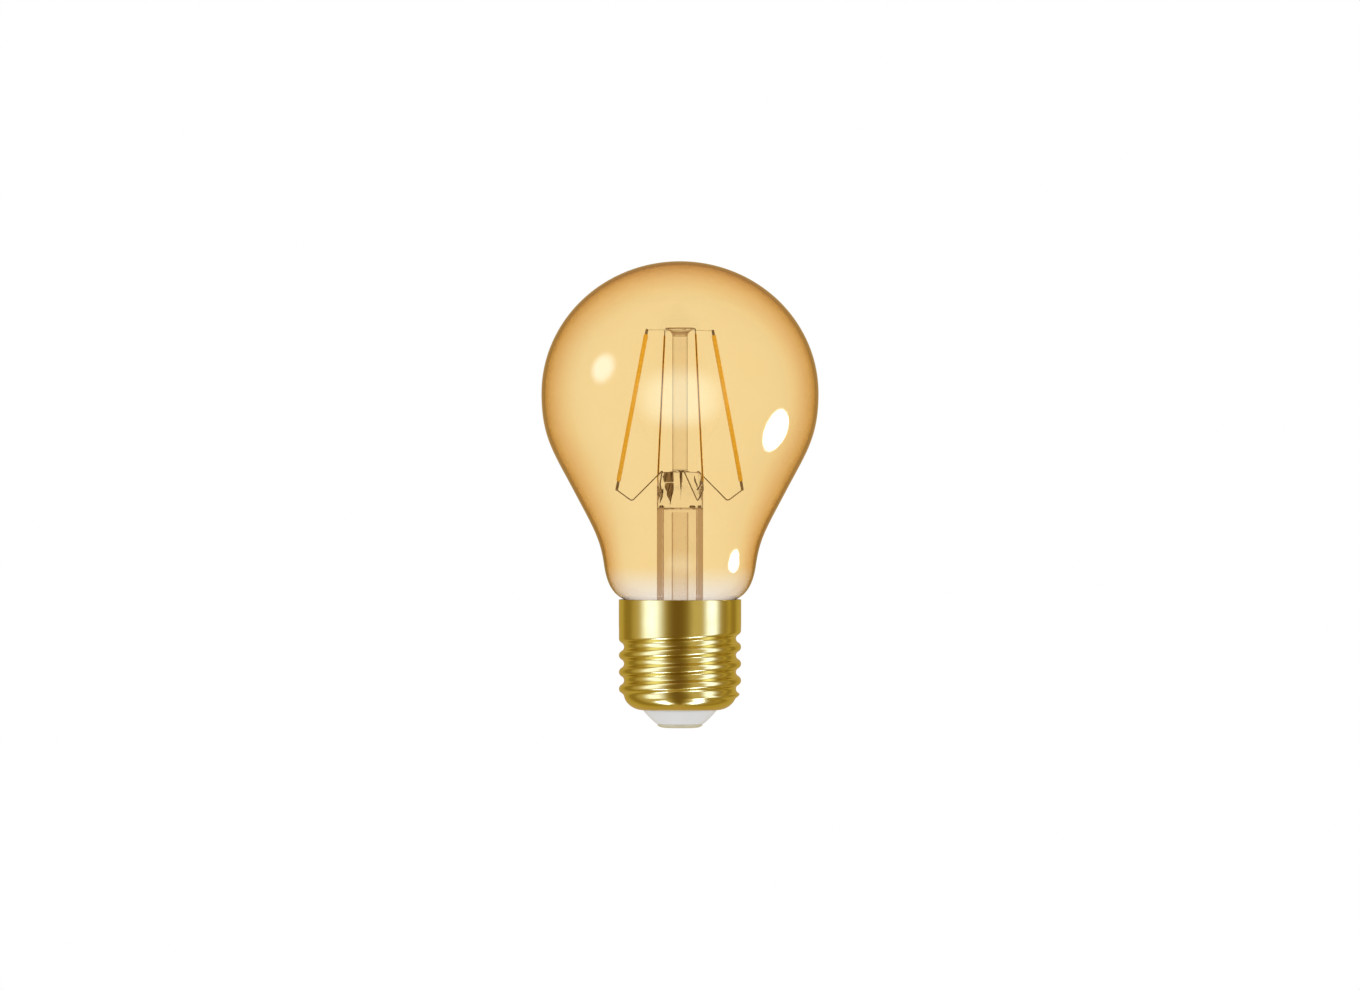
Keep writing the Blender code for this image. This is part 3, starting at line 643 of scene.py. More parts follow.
def strip_frame(start, end):
    """Along, across and face directions; the strips are welded square to each other."""
    along = (start - end).normalized()
    quarter = round(math.atan2(start.y + end.y, start.x + end.x) / (math.pi / 2))
    outward = Vector((math.cos(quarter * math.pi / 2), math.sin(quarter * math.pi / 2), 0.0))
    across = (outward - along * outward.dot(along)).normalized()
    return along, across, along.cross(across)


def bar_mesh(name, start, end, width, thickness, section_sides, rows, ripple):
    """Loft a rounded section from end to start, drawn in at both tips; edges take finish 1."""
    along, across, face = strip_frame(start, end)
    length = (start - end).length
    shape = bmesh.new()
    rings = []
    for row in range(rows + 1):
        share = row / rows
        tip = min(min(share, 1 - share) * length / (thickness * TIP_LENGTH), 1.0)
        swell = 1 - TIP_SWELL + TIP_SWELL * math.sqrt(max(1 - (1 - tip) ** 2, 0.0))
        wave = 1 + ripple * math.cos(math.tau * share * length / CHIP_PITCH)
        centre = end.lerp(start, share)
        ring = []
        for side in range(section_sides):
            turn = math.tau * (side + 0.5) / section_sides
            x, y = math.cos(turn), math.sin(turn)
            reach = (abs(x) ** 4 + abs(y) ** 4) ** -0.25
            point = across * (x * reach * width / 2 * swell)
            point += face * (y * reach * thickness / 2 * swell * wave)
            ring.append(shape.verts.new(centre + point))
        rings.append(ring)
    for quad in skin(shape, rings):
        quad.normal_update()
        quad.material_index = 1 if abs(quad.normal.dot(face)) < EDGE_LIMIT else 0
    return finished_mesh(name, shape)


# %% Four strips with their tabs
COAT_WIDTH, COAT_THICKNESS = 0.00095, 0.00045
COAT_SIDES, COAT_ROWS, COAT_RIPPLE = 20, 240, 0.05
TAB_WIDTH, TAB_THICKNESS = 0.00060, 0.00020
TAB_SIDES, TAB_ROWS = 16, 12
TAB_BURIED = 0.0009

for number in (1, 2, 3, 4):
    top, foot = node_line(f"filament_{number}")
    coat = bar_mesh(
        f"strip_{number}", top, foot, COAT_WIDTH, COAT_THICKNESS, COAT_SIDES, COAT_ROWS,
        COAT_RIPPLE,
    )
    add_piece(coat, PHOSPHOR_PAINTED_GLOW, "phosphor", f"filament_{number}")
    coat.materials.append(CARRIER_EDGE)
    for place in ("top", "foot"):
        high, low = node_line(f"{place}_pin_{number}")
        along = (high - low).normalized()
        if place == "top":
            low = low - along * TAB_BURIED
        else:
            high = high + along * TAB_BURIED
        tab = bar_mesh(
            f"{place}_tab_{number}", high, low, TAB_WIDTH, TAB_THICKNESS, TAB_SIDES, TAB_ROWS,
            0.0,
        )
        tab.materials.append(NICKEL)
        add_piece(tab, NICKEL, "nickel", f"{place}_pin_{number}")
print("strips made: 4")

# %% [markdown]
# ## Bent wires
# The wires are cut and bent cold, so they run straight between soft bends. I give each route its
# corner points, round the corners with short curves, and sweep a round section along them. Each
# wire runs a little way into its tab, where the weld is.

# %% Wire helpers


def polar(radius, turn, height):
    return Vector((radius * math.cos(turn), radius * math.sin(turn), height))


def rounded_route(corners, bend, steps=8):
    """The corner points with each inner corner swapped for a short curve."""
    route = [corners[0]]
    for before, corner, after in zip(corners, corners[1:], corners[2:]):
        back = (before - corner).normalized() * min(bend, (before - corner).length * 0.45)
        ahead = (after - corner).normalized() * min(bend, (after - corner).length * 0.45)
        for i in range(steps + 1):
            t = i / steps
            route.append(corner + back * (1 - t) ** 2 + ahead * t**2)
    route.append(corners[-1])
    return route


def wire_curve(name, corners, radius, bend):
    curve = bpy.data.curves.new(name, "CURVE")
    curve.dimensions = "3D"
    curve.bevel_depth = radius
    curve.bevel_resolution = 3
    curve.use_fill_caps = True
    route = rounded_route(corners, bend)
    spline = curve.splines.new("POLY")
    spline.points.add(len(route) - 1)
    for knot, point in zip(spline.points, route):
        knot.co = (*point, 1.0)
    return curve


# %% Support wires
WIRE_RADIUS = 0.00013
SUPPORT_BEND = 0.0007
SUPPORT_ELBOW = (0.0110, 0.0492)
FOOT_WELD = 0.55
LEAD_X = 0.0037
FOOT_TURN = math.radians(20)
SUPPORT_STARTS = ((LEAD_X, 0.0), (0.0, 0.0012), (-LEAD_X, 0.0), (0.0, -0.0012))
SUPPORT_TAILS = ((0.0030, 0.0514), (0.0002, 0.0512), (-0.0030, 0.0510), (0.0003, 0.0520))

for index, (x, y) in enumerate(SUPPORT_STARTS):
    turn = FOOT_TURN + math.tau * index / 4
    foot_high, foot_low = node_line(f"foot_pin_{index + 1}")
    corners = [
        Vector((SUPPORT_TAILS[index][0], y * 0.5, SUPPORT_TAILS[index][1])),
        Vector((x, y, PRESS_TOP - (0.0002 if y else 0.0030))),
        polar(0.0022 if y else 0.0040, turn, PRESS_TOP + 0.0004),
        polar(SUPPORT_ELBOW[0], turn, SUPPORT_ELBOW[1]),
        foot_low + Vector((0.0, 0.0, 0.0002)),
        foot_low.lerp(foot_high, FOOT_WELD),
    ]
    curve = wire_curve(f"support_{index + 1}", corners, WIRE_RADIUS, SUPPORT_BEND)
    add_piece(curve, NICKEL, "nickel", f"support_wire_{index + 1}")

# %% Top and lead wires
BRIDGE_RADIUS = 0.00007
BRIDGE_BEND = 0.0012
BRIDGE_REACH = 0.0034
BRIDGE_HEIGHTS = (0.08615, 0.08635)
TOP_WELD = 0.3
LEAD_RADIUS = 0.00012
LEAD_BEND = 0.0010
LEAD_NEAR = 0.00375

for index in (0, 1):
    ends = []
    for number in (index + 1, index + 3):
        tab_high, tab_low = node_line(f"top_pin_{number}")
        ends.append(tab_high.lerp(tab_low, TOP_WELD))
    outward = [Vector((end.x, end.y, 0.0)).normalized() for end in ends]
    middle = [Vector((*(way * BRIDGE_REACH).xy, BRIDGE_HEIGHTS[index])) for way in outward]
    corners = [ends[0], *middle, ends[1]]
    curve = wire_curve(f"bridge_{index + 1}", corners, BRIDGE_RADIUS, BRIDGE_BEND)
    add_piece(curve, MATT_TIN, "nickel", f"top_wire_{index + 1}")

for number in (1, 2):
    low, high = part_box(f"lead_wire_{number}")
    x, y = (low[0] + high[0]) / 2, (low[1] + high[1]) / 2
    near = math.copysign(LEAD_NEAR, x)
    corners = [
        Vector((x, y, low[2])), Vector((near, y, low[2] + 0.0040)),
        Vector((near, y, BORE_TOP)), Vector((near * 1.08, y, BORE_TOP + 0.0012)),
    ]
    curve = wire_curve(f"lead_{number}", corners, LEAD_RADIUS, LEAD_BEND)
    add_piece(curve, COPPER, "copper", f"lead_wire_{number}")
print("wires made: 8")

# %% [markdown]
# The wires are sealed in the press by short copper-clad lengths. Heat turns their cladding dark
# red-brown, and the thick hot glass draws it out into flat tapering streaks. Each streak is a thin
# blade that narrows to its foot, built from a few widths along its height: a station gives the
# height, the middle and half the width in millimetres, and the number before them is the blade's
# place along Y.

# %% Seals in the press


def sealed_copper():
    material, tree, shader = new_finish("sealed_copper", Roughness=0.5)
    streaks = noise(tree, object_place(tree, (1, 1, 0.12)), 4200.0, 3.0)
    share = spread_value(tree, streaks, 0.0, 1.0, 0.40, 0.58)
    tint = blend_colours(tree, share, (0.120, 0.050, 0.020), (0.620, 0.430, 0.280))
    link(tree, tint, shader.inputs["Base Color"])
    add_bump(tree, shader, streaks, 0.3, 0.00004)
    return material


SEALED_COPPER = sealed_copper()
BLADE_THICKNESS = 0.00016
MM = 0.001
SEALS = {
    "seal_wide": (0.0, (
        (55.3, -2.30, 0.20), (54.7, -2.25, 0.82), (53.8, -2.25, 0.90), (53.1, -2.20, 0.78),
    )),
    "seal_wide_foot": (0.0, (
        (52.9, -2.10, 0.68), (52.2, -2.10, 0.74), (50.5, -1.80, 0.46), (48.4, -1.40, 0.04),
    )),
    "seal_left": (0.0, (
        (51.7, -3.00, 0.04), (50.8, -3.05, 0.22), (49.8, -3.00, 0.20), (48.6, -3.20, 0.03),
    )),
    "seal_middle": (-0.8, (
        (55.4, 0.28, 0.22), (54.6, 0.20, 0.30), (53.4, 0.26, 0.26), (52.4, 0.24, 0.07),
        (49.0, 0.18, 0.02),
    )),
    "seal_right": (0.0, (
        (54.5, 2.80, 0.04), (53.4, 2.90, 0.14), (52.4, 3.10, 0.12), (51.8, 3.10, 0.02),
    )),
    "seal_base_left": (0.0, ((48.28, -2.90, 0.30), (48.00, -2.90, 0.58), (47.72, -2.90, 0.40))),
    "seal_base_middle": (0.0, ((48.24, 1.84, 0.30), (48.00, 1.84, 0.52), (47.76, 1.84, 0.40))),
    "seal_base_right": (0.0, ((48.28, 3.10, 0.30), (48.00, 3.10, 0.45), (47.72, 3.10, 0.30))),
}
ROWS_IN_A_SPAN = 6
BLADE_SIDES = 12


def blade_mesh(name, stations, depth):
    """Loft an oval blade through stations of (height, middle, half width), in millimetres."""
    stations = [tuple(value * MM for value in station) for station in stations]
    shape = bmesh.new()
    rings = []
    for (z0, x0, w0), (z1, x1, w1) in zip(stations, stations[1:]):
        last = 1 if (z1, x1, w1) == stations[-1] else 0
        for row in range(ROWS_IN_A_SPAN + last):
            t = row / ROWS_IN_A_SPAN
            soft = t * t * (3 - 2 * t)
            z, x, w = z0 + (z1 - z0) * t, x0 + (x1 - x0) * soft, w0 + (w1 - w0) * soft
            thick = min(BLADE_THICKNESS, w)
            turns = [math.tau * side / BLADE_SIDES for side in range(BLADE_SIDES)]
            rings.append([
                shape.verts.new((x + w * math.cos(a), depth * MM + thick * math.sin(a), z))
                for a in turns
            ])
    skin(shape, rings)
    return finished_mesh(name, shape)


for name, (depth, stations) in SEALS.items():
    add_piece(blade_mesh(name, stations, depth), SEALED_COPPER, "copper")
print("seals made:", len(SEALS))

# %% [markdown]
# ## Brass
# The cap is thin brass, deep drawn, rolled and lacquered. Rolling leaves hair-fine rings round
# the shell, which spread each reflection sideways a little; handling leaves faint smudges. So the
# bump is a noise squeezed along Z into rings, and a broad soft noise varies the gloss.

# %% Brass finish


def brass():
    material, tree, shader, _, smudge = mottled(
        "brass", (0.80, 0.685, 0.270), (0.745, 0.615, 0.207), 140.0, 4.0, Metallic=1.0,
        Coat_Weight=0.15, Coat_Roughness=0.08,
    )
    rings = noise(tree, object_place(tree, (0.02, 0.02, 1.0)), 9000.0, 3.0)
    rough = spread_value(tree, smudge, 0.16, 0.22, 0.0, 1.0)
    link(tree, rough, shader.inputs["Roughness"])
    add_bump(tree, shader, rings, 0.05, 0.00002)
    return material


BRASS = brass()

# %% [markdown]
# ## The screw shell
# An E27 thread is round: its crests and grooves are arcs of about one millimetre, 3.63 mm apart.
# A real shell starts as a plain drawn cup and rollers press the groove into it. Here I turn a
# plain cup at the groove's depth with many fine rows, then push each point out to the crest by
# the thread's formula. The top groove runs out behind the skirt, and the lowest crest fades in
# from there too, so both ends of the thread are gentle.

# %% Thread formula
PITCH = 0.003629
THREAD_ARC = 0.001025
THREAD_DEPTH = 0.00109
CREST_HEIGHT = 0.0157
THREAD_TOP, THREAD_BOTTOM = 0.0215, 0.0071
SHELL_WALL = 0.0003
SHELL_OPENING = 0.0080
SHELL_SIDES = 192
ROWS_IN_A_PITCH = 26
LAST_CREST = -3
RUN_OUT_START, RUN_OUT_END = math.radians(380), math.radians(450)
FADE_IN_START, FADE_IN_END = math.radians(120), math.radians(400)
MELT_LOW, MELT_HIGH = THREAD_BOTTOM - 0.0009, THREAD_BOTTOM + 0.0004
CUP_RADIUS = 0.009


def thread_fill(point):
    """1 on a crest and 0 in a groove, as arcs, counted from the back where both ends run out."""
    turn = (math.atan2(point.y, point.x) - math.pi / 2) % math.tau + math.pi / 2
    height = (point.z - CREST_HEIGHT) / PITCH - (turn - math.pi) / math.tau
    groove, crest = math.floor(height), round(height)
    if groove > 0:
        return 1.0
    if crest < LAST_CREST:
        return 0.0
    off_crest = abs(height - crest)
    x = min(off_crest, 0.5 - off_crest) * PITCH
    drop = min((THREAD_ARC - math.sqrt(THREAD_ARC**2 - x**2)) / THREAD_DEPTH, 0.5)
    fill = 1 - drop if off_crest < 0.25 else drop
    if groove == 0:
        fill = 1 - (1 - fill) * (1 - smooth_step(turn, RUN_OUT_START, RUN_OUT_END))
    if crest == LAST_CREST:
        fill *= smooth_step(turn, FADE_IN_START, FADE_IN_END)
    return fill


def roll_thread(mesh):
    """Push the cup out to the crests; the lowest crest melts into the rounded bottom."""
    for vertex in mesh.vertices:
        point = vertex.co
        plain = math.hypot(point.x, point.y)
        if point.z > MELT_LOW and plain > CUP_RADIUS:
            fill = 1.0 if point.z > THREAD_TOP else thread_fill(point)
            fill *= smooth_step(point.z, MELT_LOW, MELT_HIGH)
            scale = 1 + THREAD_DEPTH * fill / plain
            point.x *= scale
            point.y *= scale


# %% Screw shell
RIM_ROUND = 0.00014
RIM_STEPS = 5
GROOVE_RELIEF = 0.00003


def shell_profile():
    """The cup at groove depth: rim, skirt, thread rows and rounded bottom, then back inside."""
    skirt = SKIRT_RADIUS - THREAD_DEPTH
    root = skirt - GROOVE_RELIEF
    rim = arc((skirt - RIM_ROUND, SKIRT_TOP - RIM_ROUND), RIM_ROUND, 90, 0, RIM_STEPS)
    rows = round((THREAD_TOP - THREAD_BOTTOM) / PITCH * ROWS_IN_A_PITCH)
    step = (THREAD_TOP - THREAD_BOTTOM) / rows
    wall = [(skirt, SKIRT_TOP - 0.0008), (skirt, 0.0245), (skirt, 0.0222)]
    wall += [(root, THREAD_TOP - step * i) for i in range(rows)]
    bottom = bezier(
        (root, THREAD_BOTTOM), (root, THREAD_BOTTOM - 0.0014),
        (SHELL_OPENING + 0.0024, SHELL_BOTTOM), (SHELL_OPENING, SHELL_BOTTOM), 24,
    )
    outside = rim + wall + bottom
    inside = offset(outside[RIM_STEPS + 1:], SHELL_WALL)
    inside[-1] = (SHELL_OPENING, SHELL_BOTTOM + SHELL_WALL)
    top = [(skirt - SHELL_WALL, SKIRT_TOP)]
    return outside + inside[::-1] + top


cap = add_piece(
    turned("screw_cap", shell_profile(), SHELL_SIDES, closed=True), BRASS, "brass",
    "screw_shell",
)
roll_thread(cap.data)
cap.data.set_sharp_from_angle(angle=math.radians(60))
print("cap faces:", len(cap.data.polygons))

# %% [markdown]
# ## The insulator and the centre contact
# Below the brass sits a cone of smooth white ceramic that keeps the two contacts apart, and a
# tinned brass button closes it. The button is pressed with a shallow ring, and a small pit in its
# middle marks where the live wire is soldered. Both are turned from short profiles.

# %% White ceramic and tinned brass finishes


def white_ceramic():
    material, tree, shader, place, _ = mottled(
        "white_ceramic", (0.86, 0.865, 0.880), (0.82, 0.825, 0.840), 220.0, 3.0,
        Roughness=0.42, IOR=1.5, Specular_IOR_Level=0.35,
    )
    add_bump(tree, shader, noise(tree, place, 700.0), 0.06, 0.00008)
    return material


CERAMIC = white_ceramic()


def tinned_brass():
    material, tree, shader, place, _ = mottled(
        "tinned_brass", (0.88, 0.88, 0.78), (0.80, 0.80, 0.66), 420.0, 4.0, Metallic=0.35,
        Roughness=0.38,
    )
    add_bump(tree, shader, noise(tree, place, 1500.0), 0.1, 0.00003)
    return material


TINNED = tinned_brass()

# %% Insulator
CONTACT_RADIUS = radius_of("centre_contact")
SEAT = 0.00085
INSULATOR_TOP = top_of("shell_insulator")
FLANGE_RADIUS = radius_of("shell_insulator")
THROAT = SHELL_OPENING - 0.0001
INSULATOR_BORE = 0.0010


def insulator_profile():
    flange = SHELL_BOTTOM + SHELL_WALL + 0.0002
    points = [(INSULATOR_BORE, INSULATOR_TOP), (FLANGE_RADIUS, INSULATOR_TOP)]
    points += [(FLANGE_RADIUS, flange), (THROAT, flange), (THROAT, SHELL_BOTTOM)]
    points += bezier(
        (THROAT, SHELL_BOTTOM - 0.0001), (THROAT - 0.0002, SHELL_BOTTOM - 0.0005),
        (CONTACT_RADIUS + 0.0010, SEAT + 0.0006), (CONTACT_RADIUS + 0.0001, SEAT), 16,
    )
    points += [(CONTACT_RADIUS - 0.0004, SEAT), (INSULATOR_BORE, SEAT)]
    return points


insulator = add_piece(
    turned("insulator", insulator_profile(), 128, closed=True), CERAMIC, "white_ceramic",
    "shell_insulator",
)
insulator.data.set_sharp_from_angle(angle=math.radians(40))

# %% Centre contact
RING_HEIGHT = 0.00022
PIT_RIM = 0.0001
PIT_FLOOR = 0.0004


def contact_profile():
    """The rounded face that meets the holder, a pressed ring and a pit in the middle."""
    button = bezier(
        (CONTACT_RADIUS, 0.00070), (CONTACT_RADIUS, 0.00030),
        (CONTACT_RADIUS - 0.0009, 0.0), (0.0030, 0.0), 12,
    )
    ring = bezier((0.0026, 0.0), (0.0023, 0.0), (0.0023, RING_HEIGHT), (0.0019, RING_HEIGHT), 8)
    mound = bezier(
        (0.0014, RING_HEIGHT), (0.0011, RING_HEIGHT), (0.0010, PIT_RIM), (0.0009, PIT_RIM), 6
    )
    pit = [(0.0007, PIT_RIM), (0.0007, PIT_FLOOR), (0.0, PIT_FLOOR)]
    return [(0.0, SEAT), (CONTACT_RADIUS - 0.0001, SEAT)] + button + ring + mound + pit


contact = add_piece(
    turned("contact_button", contact_profile(), 96), TINNED, "brass", "centre_contact"
)
contact.data.set_sharp_from_angle(angle=math.radians(50))
print(f"contact {CONTACT_RADIUS * 2000:.1f} mm wide")

# %% [markdown]
# ## Parts hidden in the cap
# The driver and the radio are sealed in the cap and never show, so their CAD shapes stay. Each one
# still gets its real finish, so that the bulb can be opened up later: laminate boards, moulded
# packages, a drawn aluminium can, ferrite, lacquered wires and the gritty capping cement.

# %% Finishes for the hidden parts


def plain_finish(name, light, dark, roughness, scale, metallic):
    """A cast or moulded finish: two close shades in a noise, and a faint grain in the gloss."""
    material, tree, shader = new_finish(name, Metallic=metallic)
    grain = noise(tree, object_place(tree), scale, 4.0)
    share = spread_value(tree, grain)
    link(tree, blend_colours(tree, share, light, dark), shader.inputs["Base Color"])
    rough = spread_value(tree, grain, max(roughness - 0.06, 0.05), roughness + 0.06)
    link(tree, rough, shader.inputs["Roughness"])
    add_bump(tree, shader, grain, 0.2, 0.00005)
    return material


HIDDEN_PARTS = {
    "cement": ((0.78, 0.74, 0.66), (0.66, 0.62, 0.54), 0.85, 900.0, 0.0, "capping_cement"),
    "white_plastic": (
        (0.85, 0.85, 0.83), (0.80, 0.80, 0.77), 0.45, 700.0, 0.0, "insulating_sleeve",
    ),
    "board_green": (
        (0.05, 0.26, 0.12), (0.03, 0.20, 0.09), 0.45, 1500.0, 0.0, "driver_board",
        "wireless_board",
    ),
    "black_plastic": (
        (0.020, 0.020, 0.022), (0.035, 0.035, 0.035), 0.40, 1800.0, 0.0, "bridge_rectifier",
        "driver_chip", "dimming_transistor", "board_connector", "wireless_chip",
    ),
    "black_rubber": (
        (0.030, 0.030, 0.030), (0.045, 0.043, 0.040), 0.70, 1200.0, 0.0, "capacitor_seal",
    ),
    "can_aluminium": (
        (0.76, 0.77, 0.79), (0.68, 0.69, 0.71), 0.30, 900.0, 1.0, "electrolytic_capacitor",
        "shield_can",
    ),
    "ferrite": ((0.10, 0.10, 0.11), (0.06, 0.06, 0.065), 0.60, 1400.0, 0.0, "inductor_core"),
    "film_yellow": ((0.85, 0.60, 0.12), (0.78, 0.52, 0.09), 0.40, 900.0, 0.0, "film_capacitor"),
    "resistor_blue": (
        (0.20, 0.38, 0.52), (0.15, 0.31, 0.45), 0.45, 1200.0, 0.0, "fusible_resistor",
    ),
    "wire_red": ((0.60, 0.05, 0.04), (0.50, 0.04, 0.03), 0.45, 1500.0, 0.0, "live_wire"),
    "wire_blue": ((0.06, 0.12, 0.50), (0.04, 0.09, 0.40), 0.45, 1500.0, 0.0, "neutral_wire"),
}


def give_finish(part, material):
    part.material_slots[0].link = "OBJECT"
    part.material_slots[0].material = material


for finish, (light, dark, roughness, scale, metallic, *parts) in HIDDEN_PARTS.items():
    material = plain_finish(finish, light, dark, roughness, scale, metallic)
    for name in parts:
        give_finish(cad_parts[name], material)
for name in ("inductor_winding", "antenna_wire"):
    give_finish(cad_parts[name], COPPER)
print("hidden finishes:", len(HIDDEN_PARTS) + 1)

# %% [markdown]
# ## The studio
# Glass and brass show what is around them, so the studio does half of the work. The backdrop is
# white and so is the soft light on matt surfaces. What the metal and the glass reflect is a ring
# of walls in warm shades, each given as a turn about the bulb's axis with zero towards the
# camera: dark in front, lighter at the sides. Light that has bounced inside the glass sees a
# brown shade instead, which draws the thin dark lines along the glass walls.

# %% World
WHITE = (1.0, 1.0, 1.0)
MID = (0.645, 0.537, 0.289)
FLANK = (0.495, 0.380, 0.122)
DIM = (0.322, 0.222, 0.044)
SHADE = (0.265, 0.185, 0.044)
DARK = (0.181, 0.108, 0.018)
EDGE = (0.538, 0.407, 0.094)
LIMB = (0.540, 0.380, 0.140)
IN_RIM = (0.24, 0.080, 0.012)
IN_STEM = (0.50, 0.39, 0.32)
WALLS = (
    (-180, LIMB), (-168, LIMB), (-150, EDGE), (-138, EDGE), (-126, DIM), (-107, DIM),
    (-100, FLANK), (-74, MID), (-30, FLANK), (-20, SHADE), (-12, DARK), (2, DARK), (13, SHADE),
    (26, MID), (76, FLANK), (97, DIM), (106, EDGE), (117, DIM), (126, DIM), (138, EDGE),
    (150, EDGE), (168, LIMB), (180, LIMB),
)


def wall_ramp(tree, turn, stops):
    """A ramp over the full turn; all stops get their place before any gets its shade."""
    ramp = node(tree, "ShaderNodeValToRGB")
    band = ramp.color_ramp
    while len(band.elements) < len(stops):
        band.elements.new(0.5)
    for element, (angle, _) in zip(band.elements, stops):
        element.position = (angle + 180) / 360
    for element, (_, shade) in zip(band.elements, stops):
        element.color = (*shade, 1.0)
    link(tree, turn, ramp.inputs["Fac"])
    return ramp.outputs["Color"]


def build_world():
    world = bpy.data.worlds.new("studio")
    bpy.context.scene.world = world
    world.use_nodes = True
    tree = world.node_tree
    sky = tree.nodes["Background"]
    place = node(tree, "ShaderNodeTexCoord")
    axes = node(tree, "ShaderNodeSeparateXYZ")
    link(tree, place.outputs["Generated"], axes.inputs["Vector"])
    front = node(tree, "ShaderNodeMath", operation="MULTIPLY")
    front.inputs[1].default_value = -1.0
    link(tree, axes.outputs["Y"], front.inputs[0])
    turn = node(tree, "ShaderNodeMath", operation="ARCTAN2")
    link(tree, axes.outputs["X"], turn.inputs[0])
    link(tree, front.outputs["Value"], turn.inputs[1])
    share = spread_value(tree, turn.outputs["Value"], 0.0, 1.0, -math.pi, math.pi)
    ray = node(tree, "ShaderNodeLightPath")
    walls = wall_ramp(tree, share, WALLS)
    bounced = spread_value(tree, ray.outputs["Glossy Depth"], 0.0, 1.0, 0.0, 1.0)
    deep = spread_value(tree, ray.outputs["Transmission Depth"], 0.0, 1.0, 2.0, 4.0)
    side = blend_colours(tree, deep, IN_RIM, IN_STEM)
    through = blend_colours(tree, bounced, WHITE, side)
    shade = blend_colours(tree, ray.outputs["Is Diffuse Ray"], walls, WHITE)
    shade = blend_colours(tree, ray.outputs["Is Transmission Ray"], shade, through)
    shade = blend_colours(tree, ray.outputs["Is Camera Ray"], shade, WHITE)
    link(tree, shade, sky.inputs["Color"])


build_world()

# %% [markdown]
# Two kinds of lamp light the bulb. Tall soft ones at both sides put the long bright bars on the
# cap, with a low pair for the undersides of the thread, and they light the brass only. Three
# round ones light the glass only: two small ones for the round highlights, and a broad faint one
# in front for the soft glow in the middle.

# %% Lamp helpers


def receivers(name, *pieces):
    """A group of the only pieces that a lamp lights."""
    group = bpy.data.collections.new(name)
    for piece in pieces:
        group.objects.link(piece)
    return group


def soft_lamp(name, place, target, size, radiance, lit, shape="RECTANGLE"):
    """An area lamp of even brightness that faces the target and lights only some pieces."""
    lamp = bpy.data.lights.new(name, "AREA")
    lamp.shape = shape
    lamp.size, lamp.size_y = size
    area = size[0] * size[1] * (math.pi / 4 if shape == "ELLIPSE" else 1.0)
    lamp.energy = radiance * area * math.pi
    lamp_object = new_object(lamp)
    lamp_object.location = place
    lamp_object.rotation_euler = (place - target).to_track_quat("Z", "Y").to_euler()
    lamp_object.light_linking.receiver_collection = lit
    lamp_object.visible_camera = False
    lamp_object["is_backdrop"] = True
    return lamp_object


def round_axis(turn, distance, height):
    """A place round the bulb; a turn of zero is towards the camera and 90 is to its right."""
    angle = math.radians(turn)
    return Vector((distance * math.sin(angle), -distance * math.cos(angle), height))


def soften_edge(lamp, across_only=False, full=0.0):
    """Fade the lamp towards its edge; full is the share from the middle that stays even."""
    lamp.use_nodes = True
    tree = lamp.node_tree
    shape = node(tree, "ShaderNodeNewGeometry")
    middle = node(tree, "ShaderNodeVectorMath", operation="SUBTRACT")
    middle.inputs[1].default_value = (0.5, 0.5, 0.0)
    link(tree, shape.outputs["Parametric"], middle.inputs[0])
    away = node(tree, "ShaderNodeVectorMath", operation="MULTIPLY")
    away.inputs[1].default_value = (1.0, 0.0, 0.0) if across_only else (1.0, 1.0, 0.0)
    link(tree, middle.outputs["Vector"], away.inputs[0])
    distance = node(tree, "ShaderNodeVectorMath", operation="LENGTH")
    link(tree, away.outputs["Vector"], distance.inputs[0])
    faded = node(
        tree, "ShaderNodeMapRange", interpolation_type="SMOOTHERSTEP", From_Min=0.5,
        From_Max=full / 2,
    )
    link(tree, distance.outputs["Value"], faded.inputs["Value"])
    link(tree, faded.outputs["Result"], tree.nodes["Emission"].inputs["Strength"])


# %% Tall lamps for the brass
BRASS_PIECES = receivers("lit_brass", cap)
COOL = (0.194, 0.268, 0.556)
DISTANCE = 0.8
TALL_LAMPS = (
    ("left_lamp", -87, -23, (-0.46, 1.60), 5.0),
    ("right_lamp", 40, 86, (-0.46, 1.60), 5.8),
    ("left_low_lamp", -85, -33, (-3.00, -1.00), 20.0),
    ("right_low_lamp", 33, 85, (-3.00, -1.00), 20.0),
)

for name, start, end, (low, high), radiance in TALL_LAMPS:
    width = 2 * DISTANCE * math.tan(math.radians((end - start) / 2))
    centre = round_axis((start + end) / 2, DISTANCE, (low + high) / 2)
    target = Vector((0.0, 0.0, centre.z))
    lamp = soft_lamp(name, centre, target, (width, high - low), radiance, BRASS_PIECES)
    lamp.data.color = COOL
    soften_edge(lamp.data, across_only=True)

# %% Round lamps for the glass
GLASS_PIECES = receivers("lit_glass", envelope)
DOME_MIDDLE = Vector((0.0, 0.0, DOME_CENTRE))
ROUND_LAMPS = (
    ("round_lamp", (0.1143, -0.0113, 0.0303), (0.059, 0.062), 18.0, (1.00, 1.00, 1.00), 0.85),
    ("round_left_lamp", (-0.4636, -0.1834, 0.2355), (0.28, 0.28), 7.8, (0.50, 0.80, 0.95), 0.3),
    ("glow_lamp", (0.0, -0.6, 0.048), (1.18, 0.78), 4.9, (0.60, 0.98, 1.00), 0.1),
)

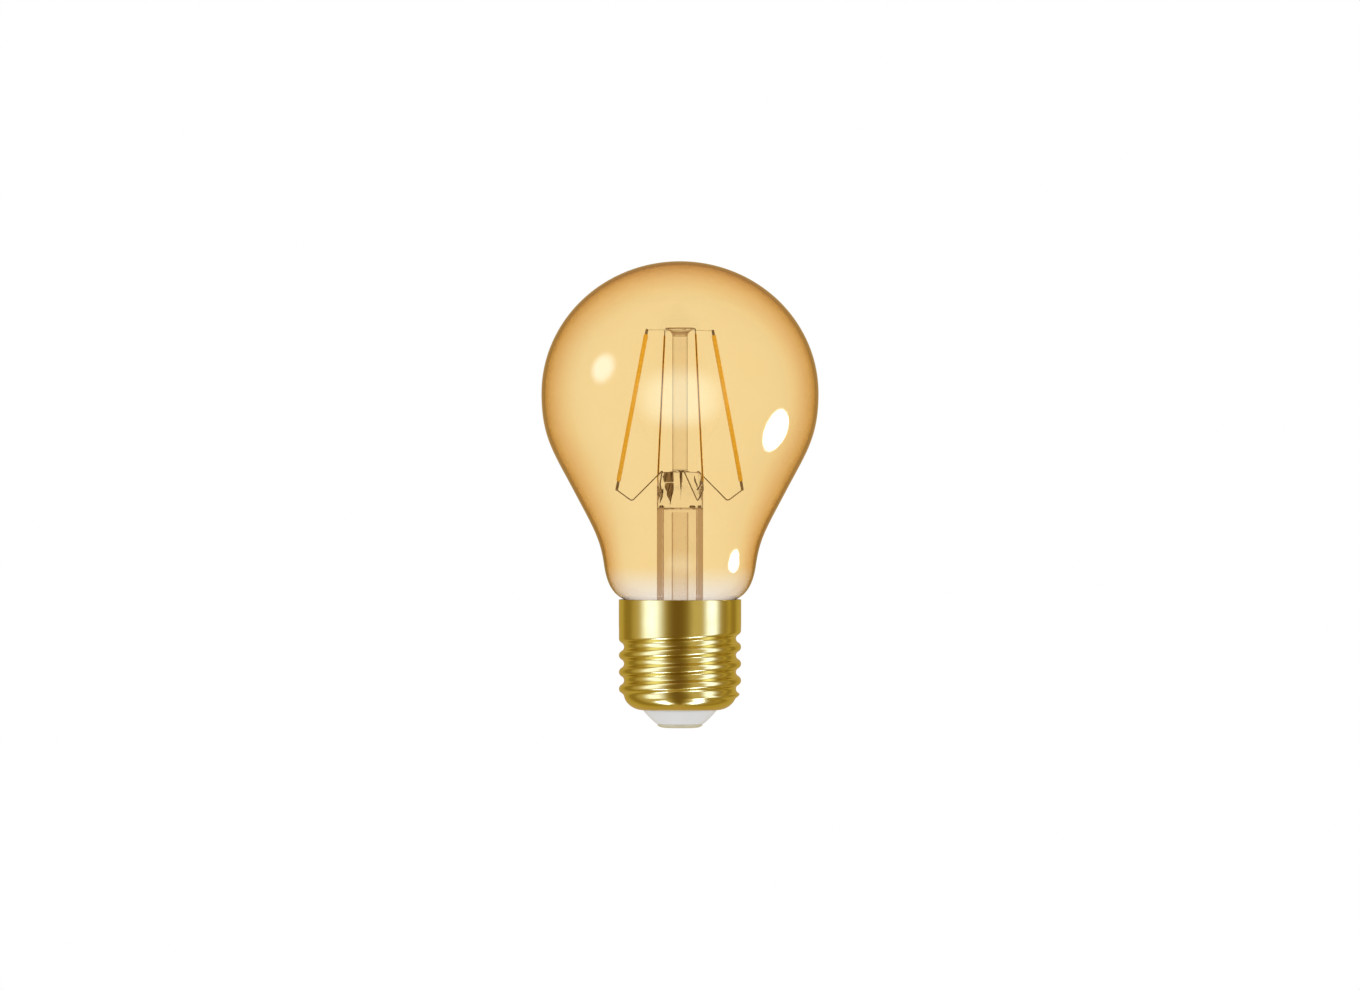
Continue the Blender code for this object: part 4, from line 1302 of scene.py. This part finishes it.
for name, place, size, radiance, colour, full in ROUND_LAMPS:
    lamp = soft_lamp(name, Vector(place), DOME_MIDDLE, size, radiance, GLASS_PIECES, "ELLIPSE")
    lamp.data.color = colour
    lamp.visible_transmission = False
    soften_edge(lamp.data, full=full)
print("lamps:", len(TALL_LAMPS) + len(ROUND_LAMPS))

# %% [markdown]
# ## Floor and camera
# The bulb is held up above a plain pale floor, far enough below that no shadow shows. A long lens
# from over a metre and a half away keeps the turned shapes free of perspective swell.

# %% Floor
FLOOR_HEIGHT = -0.45
FLOOR_RADIUS = 5.0
FLOOR_THICKNESS = 0.05


def pale_floor():
    return mottled(
        "pale_floor", (0.92, 0.92, 0.92), (0.90, 0.90, 0.90), 3.0, Roughness=0.9,
        Emission_Color=(1.0, 1.0, 1.0, 1.0), Emission_Strength=0.5,
    )[0]


FLOOR_BOTTOM = FLOOR_HEIGHT - FLOOR_THICKNESS
floor_profile = [
    (0.0, FLOOR_HEIGHT), (FLOOR_RADIUS, FLOOR_HEIGHT), (FLOOR_RADIUS, FLOOR_BOTTOM),
    (0.0, FLOOR_BOTTOM),
]
floor_mesh = turned("floor", floor_profile, 96)
floor = new_object(floor_mesh)
floor_mesh.materials.append(pale_floor())
floor.visible_glossy = False
floor.visible_transmission = False
floor.visible_diffuse = False
floor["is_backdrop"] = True

# %% Camera
CAMERA_DISTANCE = 1.6356
CAMERA_HEIGHT = 0.0504
LENS = 200

camera_data = bpy.data.cameras.new("camera")
camera_data.lens = LENS
camera_data.sensor_width = 36
camera = new_object(camera_data)
camera.location = (0.0, -CAMERA_DISTANCE, CAMERA_HEIGHT)
camera.rotation_euler = (math.pi / 2, 0.0, 0.0)
bpy.context.scene.camera = camera

# %% Light paths and colour
scene = bpy.context.scene
scene.view_settings.view_transform = "Standard"
scene.cycles.max_bounces = 40
scene.cycles.transmission_bounces = 36
scene.cycles.glossy_bounces = 24
scene.cycles.transparent_max_bounces = 64
scene.cycles.use_denoising = True

# %% [markdown]
# ## Check and finish
# Last, I compare the box of the finished bulb with the box of its CAD. The two boxes should agree
# to a fraction of a millimetre.

# %% Finish
SHOWN_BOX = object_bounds()
for low, high in (CAD_BOX, SHOWN_BOX):
    print("box in mm:", [round((b - a) * 1000, 2) for a, b in zip(low, high)])
